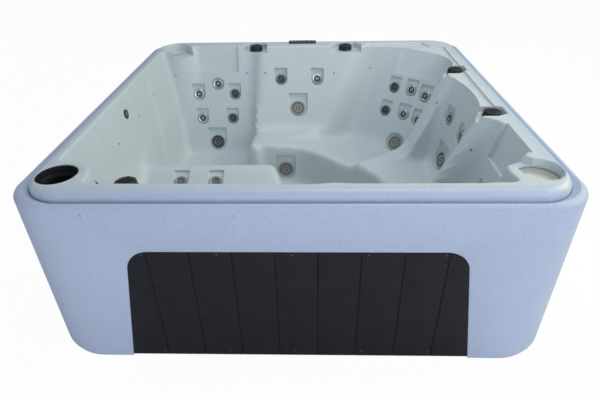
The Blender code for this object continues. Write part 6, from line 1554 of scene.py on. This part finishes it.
def banded(made, bands, grid):
    """Gives each band of quads between two rows of a turned grid its own finish."""
    rows, columns, _ = grid.shape
    indices = np.full(len(made.data.polygons), bands[-1], np.int32)
    indices[: (rows - 1) * columns] = np.repeat(bands[: rows - 1], columns)
    made.data.polygons.foreach_set("material_index", indices)


def jet_face_grid(jet, face_rows):
    """Grid of one jet's face, scalloped at its edge and turned about its axis, with the finish of each band."""
    face = jet["face"]
    top = JET_LOW + JET_THICK
    hub = JET_HUB_SHARE * face
    rows = [(hub, JET_LOW - JET_HUB_LENGTH), (hub, JET_LOW)]
    rows += [(face * share, top - drop * JET_THICK) for share, drop, _ in face_rows]

    def scallop(angles, row):
        if row not in GRIP_ROWS:
            return np.ones_like(angles)
        return 1.0 - GRIP_DEPTH_SHARE * np.maximum(np.cos(GRIP_LOBES * angles), 0.0) ** 4

    return turned(rows, segments=96, wave=scallop), [1, 1, *(band for _, _, band in face_rows)]


def jet_looks(name):
    """Finishes of one jet's face, bright steel or one of two darker steels painted for dimmer reflections, and of the
    plastic inside it.
    """
    if name in DIM_REFLECTION_FACES:
        return "smoked_steel", "inset_plastic"
    if name in DULL_REFLECTION_FACES:
        return "satin_steel", "shade_plastic"
    return "polished_steel", "inset_plastic"


def make_jets():
    """The turning face of each jet, in bright steel or in a darker steel painted for its dimmer reflection."""
    for name in JETS:
        grid, bands = jet_face_grid(jet_size(name), LARGE_FACE_ROWS if name in LARGE_JETS else SMALL_FACE_ROWS)
        made = object_of(f"{name}_face", placed(closed_grid(grid), jet_place(name)))
        finished(made, jet_looks(name), name, (name,))
        banded(made, bands, grid)


def make_trims():
    """A rounded collar round each jet face, fitted over the jet body's own."""
    parts = []
    for name in JETS:
        low = jet_size(name)["face"] + TRIM_GAP
        high = jet_size(name)["collar"] + TRIM_GAP
        rows = [(low + run, TRIM_TOP - drop) for run, drop in TRIM_INNER_ROWS]
        rows += [(high - run, TRIM_TOP - drop) for run, drop in TRIM_OUTER_ROWS]
        parts.append(placed(ring_grid(turned(rows, segments=72)), jet_place(name)))
    finished(object_of("jet_trims", joined(parts)), ["collar_plastic"])


def make_knobs():
    """The five knobs: round foot, lobed grip, smoked ring and a sunk black cap."""
    rows = [(KNOB_STEM_RADIUS, KNOB_LOW - KNOB_STEM_LENGTH), (KNOB_STEM_RADIUS, KNOB_LOW)]
    rows += [(KNOB_RADIUS * share, KNOB_LOW + KNOB_HEIGHT * height) for share, height, _, _ in KNOB_ROWS]
    depths = [0.0, 0.0, *(depth for _, _, depth, _ in KNOB_ROWS)]
    bands = [0, 0, *(band for _, _, _, band in KNOB_ROWS)]

    def lobes(angles, row):
        dip = 0.5 - 0.5 * np.cos(KNOB_LOBES * angles)
        return 1.0 - KNOB_LOBE_SHARE * depths[row] * dip**3

    grid = turned(rows, segments=128, wave=lobes)
    for name in NOTCHES:
        made = object_of(f"{name}_grip", placed(closed_grid(grid), upright(*JOINTS[name]["pos_m"])))
        finished(made, ["black_plastic", "knob_cap", "smoked_steel"], name, (name,))
        banded(made, bands, grid)


def make_filter_liner():
    """Black liner of the filter's well: a wall and a collar, turned from one list of rows."""
    place = upright(*FILTER_WELL_CENTRE, RIM_HEIGHT - WELL_DEPTH)
    made = object_of("filter_liner", placed(ring_grid(turned(FILTER_LINER_ROWS, segments=96)), place))
    finished(made, ["black_plastic"])


def make_bowl():
    """The spun bowl: rolled flange and a shallow dish, turned from one list of rows."""
    place = upright(*BOWL_CENTRE, RIM_HEIGHT - WELL_DEPTH)
    made = object_of("bowl_spun", placed(closed_grid(turned(BOWL_ROWS, segments=96)), place))
    finished(made, ["spun_steel"], "steel_bowl", ("steel_bowl",), degrees=BOWL_SMOOTH)


def make_light():
    """Small round wall light: black bezel and a domed lens."""
    grid = turned([row[:2] for row in LIGHT_ROWS], segments=64)
    made = object_of("light_lens", placed(closed_grid(grid), wall_place(LIGHT_POINT)))
    finished(made, ["black_plastic", "smoked_lens"], stands_for=("wall_light",))
    banded(made, [band for _, _, band in LIGHT_ROWS], grid)


def make_suction_covers():
    """Domed suction covers with ring grooves."""
    for name, point in SUCTION_POINTS.items():
        place = sunk(wall_place(point), SUCTION_SINK)
        made = object_of(f"{name}_dome", placed(closed_grid(turned(SUCTION_ROWS, segments=72)), place))
        finished(made, ["collar_plastic"], stands_for=(name,))


def make_controls():
    """Control strip on the rear rim: rounded plate, display glass and four round buttons."""
    place = upright(*TOPSIDE_CENTRE, RIM_HEIGHT + SEAT_GAP)
    plate = rounded_outline(rectangle(*TOPSIDE_HALF), TOPSIDE_ROUND, steps=10)
    plate = swept(plate, plate_rows(TOPSIDE_THICK, TOPSIDE_EDGE, steps=5, foot=TOPSIDE_FOOT))
    made = object_of("controls_plate", placed(closed_grid(plate), place))
    finished(made, ["black_plastic"], stands_for=("topside_housing",))
    glass = rounded_outline(rectangle(*DISPLAY_HALF), DISPLAY_ROUND, steps=6)
    glass = swept(glass, plate_rows(DISPLAY_THICK, DISPLAY_EDGE, steps=3))
    made = object_of("controls_display", placed(closed_grid(glass), sunk(place, -TOPSIDE_THICK)))
    finished(made, ["display_glass"], stands_for=("topside_display",))
    for name in BUTTONS:
        low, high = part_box(name)
        top = high.z - max(height for _, height in BUTTON_ROWS)
        spot = upright(0.5 * (low.x + high.x), 0.5 * (low.y + high.y), top)
        made = object_of(f"{name}_cap", placed(closed_grid(turned(BUTTON_ROWS, segments=48)), spot))
        finished(made, ["grey_cap"], name, (name,))


def make_dots():
    """Small round studs on the basin walls."""
    rows = [(DOT_RADIUS, -DOT_SINK), *((DOT_RADIUS * share, DOT_HEIGHT * rise) for share, rise in DOT_ROWS)]
    grid = closed_grid(turned(rows, segments=32))
    made = object_of("wall_studs", joined([placed(grid, wall_place(point)) for point in WALL_DOTS]))
    finished(made, ["grey_cap"])


# ---------------------------------------------------------------- stage


def make_camera():
    """Camera at the photograph's place, from its yaw, pitch and roll."""
    yaw, pitch, roll = (math.radians(angle) for angle in (CAMERA_YAW, CAMERA_PITCH, CAMERA_ROLL))
    ahead = np.array((math.sin(yaw) * math.cos(pitch), math.cos(yaw) * math.cos(pitch), -math.sin(pitch)))
    level = np.array((math.cos(yaw), -math.sin(yaw), 0.0))
    rise = np.cross(level, ahead)
    matrix = np.eye(4)
    matrix[:3, 0] = level * math.cos(roll) + rise * math.sin(roll)
    matrix[:3, 1] = rise * math.cos(roll) - level * math.sin(roll)
    matrix[:3, 2] = -ahead
    matrix[:3, 3] = CAMERA_PLACE
    data = bpy.data.cameras.new("photo_view")
    data.lens = CAMERA_LENS
    data.sensor_width = SENSOR_WIDTH
    data.sensor_fit = "HORIZONTAL"
    data.clip_start = CAMERA_CLIP
    camera = linked("photo_view", data)
    camera.matrix_world = Matrix(matrix.tolist())
    bpy.context.scene.camera = camera


def make_lamp(name, place, target, side, colour):
    """Square area lamp that looks at a target, with its power from the settings."""
    data = bpy.data.lights.new(name, "AREA")
    data.size = side
    data.energy = getattr(bpy.context.scene.tub_stage, f"{name}_power")
    data.color = colour
    made = linked(name, data)
    way = (Vector(target) - Vector(place)).normalized()
    made.matrix_world = Matrix.Translation(place) @ way.to_track_quat("-Z", "Y").to_matrix().to_4x4()


def show_white(tree, shade, kind, share, output):
    """Sends a shader to the output, mixed by a share with plain white for rays from the camera or through glass."""
    path = wire(tree, "ShaderNodeLightPath").outputs
    seen = computed(tree, "MAXIMUM", path["Is Camera Ray"], path["Is Transmission Ray"])
    white = wire(tree, kind, {"Color": WHITE, "Strength": 1.0})
    inputs = {0: computed(tree, "MULTIPLY", seen, share), 1: shade.outputs[0], 2: white.outputs[0]}
    wire(tree, output, {"Surface": wire(tree, "ShaderNodeMixShader", inputs).outputs["Shader"]})


def make_floor():
    """Pale floor that shows white and keeps a soft shadow."""
    half = 0.5 * bpy.context.scene.tub_stage.floor_size
    corners = np.array([(x, y, 0.0) for x, y in rectangle(half, half)])
    mesh = mesh_of("floor", (corners, [[0, 1, 2, 3]]), outward=False)
    floor = linked("floor", mesh)
    made = bpy.data.materials.new("pale_floor")
    made.use_nodes = True
    made.node_tree.nodes.clear()
    pale = wire(made.node_tree, "ShaderNodeBsdfDiffuse", {"Color": FLOOR_COLOUR})
    show_white(made.node_tree, pale, "ShaderNodeEmission", FLOOR_WHITE, "ShaderNodeOutputMaterial")
    mesh.materials.append(made)


def make_world():
    """Even pale light that shows as white."""
    scene = bpy.context.scene
    scene.world = bpy.data.worlds.new("studio")
    scene.world.use_nodes = True
    tree = scene.world.node_tree
    tree.nodes.clear()
    even = wire(tree, "ShaderNodeBackground", {"Color": AMBIENT_COLOUR, "Strength": scene.tub_stage.ambient})
    show_white(tree, even, "ShaderNodeBackground", 1.0, "ShaderNodeOutputWorld")


def make_stage():
    """Camera, floor, world and lamps."""
    bpy.context.scene.view_settings.view_transform = "Standard"
    make_camera()
    make_floor()
    make_world()
    for row in LAMPS:
        make_lamp(*row)


# ---------------------------------------------------------------- nodes that keep their own mesh


def dress_nodes():
    """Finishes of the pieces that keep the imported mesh."""
    for name, node in NODES.items():
        look = "pipe_plastic" if name.startswith(PIPE_STARTS) else NODE_LOOKS.get(name)
        if look:
            node.data.materials.clear()
            node.data.materials.append(finish(look))


# ---------------------------------------------------------------- operators, panel and main


class TubStep:
    """What every operator shares."""

    bl_options = {"REGISTER", "UNDO"}


class TUB_OT_stage(TubStep, bpy.types.Operator):
    """Makes the camera, floor, world and lamps."""

    bl_idname = "tub.stage"
    bl_label = "Stage"

    def execute(self, context):
        make_stage()
        return {"FINISHED"}


class TUB_OT_shell(TubStep, bpy.types.Operator):
    """Makes the fine moulded shell."""

    bl_idname = "tub.shell"
    bl_label = "Shell"

    def execute(self, context):
        make_shell()
        return {"FINISHED"}


class TUB_OT_skirt(TubStep, bpy.types.Operator):
    """Makes the cabinet skirt."""

    bl_idname = "tub.skirt"
    bl_label = "Cabinet"

    def execute(self, context):
        make_skirt()
        return {"FINISHED"}


class TUB_OT_panel(TubStep, bpy.types.Operator):
    """Makes the ribbed access panel."""

    bl_idname = "tub.panel"
    bl_label = "Access panel"

    def execute(self, context):
        make_panel()
        return {"FINISHED"}


class TUB_OT_screws(TubStep, bpy.types.Operator):
    """Makes the screws of panel and cabinet."""

    bl_idname = "tub.screws"
    bl_label = "Screws"

    def execute(self, context):
        make_screws()
        return {"FINISHED"}


class TUB_OT_jets(TubStep, bpy.types.Operator):
    """Makes the turning jet faces."""

    bl_idname = "tub.jets"
    bl_label = "Jets"

    def execute(self, context):
        make_jets()
        return {"FINISHED"}


class TUB_OT_trims(TubStep, bpy.types.Operator):
    """Makes the collars round the jets."""

    bl_idname = "tub.trims"
    bl_label = "Jet trims"

    def execute(self, context):
        make_trims()
        return {"FINISHED"}


class TUB_OT_knobs(TubStep, bpy.types.Operator):
    """Makes the five knobs."""

    bl_idname = "tub.knobs"
    bl_label = "Knobs"

    def execute(self, context):
        make_knobs()
        return {"FINISHED"}


class TUB_OT_filter_liner(TubStep, bpy.types.Operator):
    """Makes the black liner of the filter's well."""

    bl_idname = "tub.filter_liner"
    bl_label = "Filter liner"

    def execute(self, context):
        make_filter_liner()
        return {"FINISHED"}


class TUB_OT_bowl(TubStep, bpy.types.Operator):
    """Makes the spun steel bowl."""

    bl_idname = "tub.bowl"
    bl_label = "Bowl"

    def execute(self, context):
        make_bowl()
        return {"FINISHED"}


class TUB_OT_light(TubStep, bpy.types.Operator):
    """Makes the small wall light."""

    bl_idname = "tub.light"
    bl_label = "Wall light"

    def execute(self, context):
        make_light()
        return {"FINISHED"}


class TUB_OT_suction(TubStep, bpy.types.Operator):
    """Makes the domed suction covers."""

    bl_idname = "tub.suction"
    bl_label = "Suction covers"

    def execute(self, context):
        make_suction_covers()
        return {"FINISHED"}


class TUB_OT_controls(TubStep, bpy.types.Operator):
    """Makes the control strip with its display and buttons."""

    bl_idname = "tub.controls"
    bl_label = "Controls"

    def execute(self, context):
        make_controls()
        return {"FINISHED"}


class TUB_OT_dots(TubStep, bpy.types.Operator):
    """Makes the small studs on the walls."""

    bl_idname = "tub.dots"
    bl_label = "Studs"

    def execute(self, context):
        make_dots()
        return {"FINISHED"}


class TUB_OT_nodes(TubStep, bpy.types.Operator):
    """Gives the remaining nodes their finishes."""

    bl_idname = "tub.nodes"
    bl_label = "Other finishes"

    def execute(self, context):
        dress_nodes()
        return {"FINISHED"}


OPERATORS = (
    TUB_OT_stage,
    TUB_OT_shell,
    TUB_OT_skirt,
    TUB_OT_panel,
    TUB_OT_screws,
    TUB_OT_jets,
    TUB_OT_trims,
    TUB_OT_knobs,
    TUB_OT_filter_liner,
    TUB_OT_bowl,
    TUB_OT_light,
    TUB_OT_suction,
    TUB_OT_controls,
    TUB_OT_dots,
    TUB_OT_nodes,
)


class TUB_PT_dresser(bpy.types.Panel):
    """Sidebar panel with every step and setting."""

    bl_label = "Hot tub"
    bl_idname = "TUB_PT_dresser"
    bl_space_type = "VIEW_3D"
    bl_region_type = "UI"
    bl_category = "Hot tub"

    def draw(self, context):
        for group in (context.scene.tub_sizes, context.scene.tub_colours, context.scene.tub_stage):
            for name in group.__annotations__:
                self.layout.prop(group, name)
        for made in OPERATORS:
            self.layout.operator(made.bl_idname)


CLASSES = (TubSizes, TubColours, StageSettings, *OPERATORS, TUB_PT_dresser)


def register():
    """Registers the classes and the settings."""
    for made in CLASSES:
        bpy.utils.register_class(made)
    bpy.types.Scene.tub_sizes = PointerProperty(type=TubSizes)
    bpy.types.Scene.tub_colours = PointerProperty(type=TubColours)
    bpy.types.Scene.tub_stage = PointerProperty(type=StageSettings)


def unregister():
    """Takes the settings and classes away again."""
    del bpy.types.Scene.tub_stage
    del bpy.types.Scene.tub_colours
    del bpy.types.Scene.tub_sizes
    for made in reversed(CLASSES):
        bpy.utils.unregister_class(made)


def main():
    """Runs every step in order."""
    register()
    for made in OPERATORS:
        getattr(bpy.ops.tub, made.bl_idname.split(".")[1])()


if __name__ == "__main__":
    main()
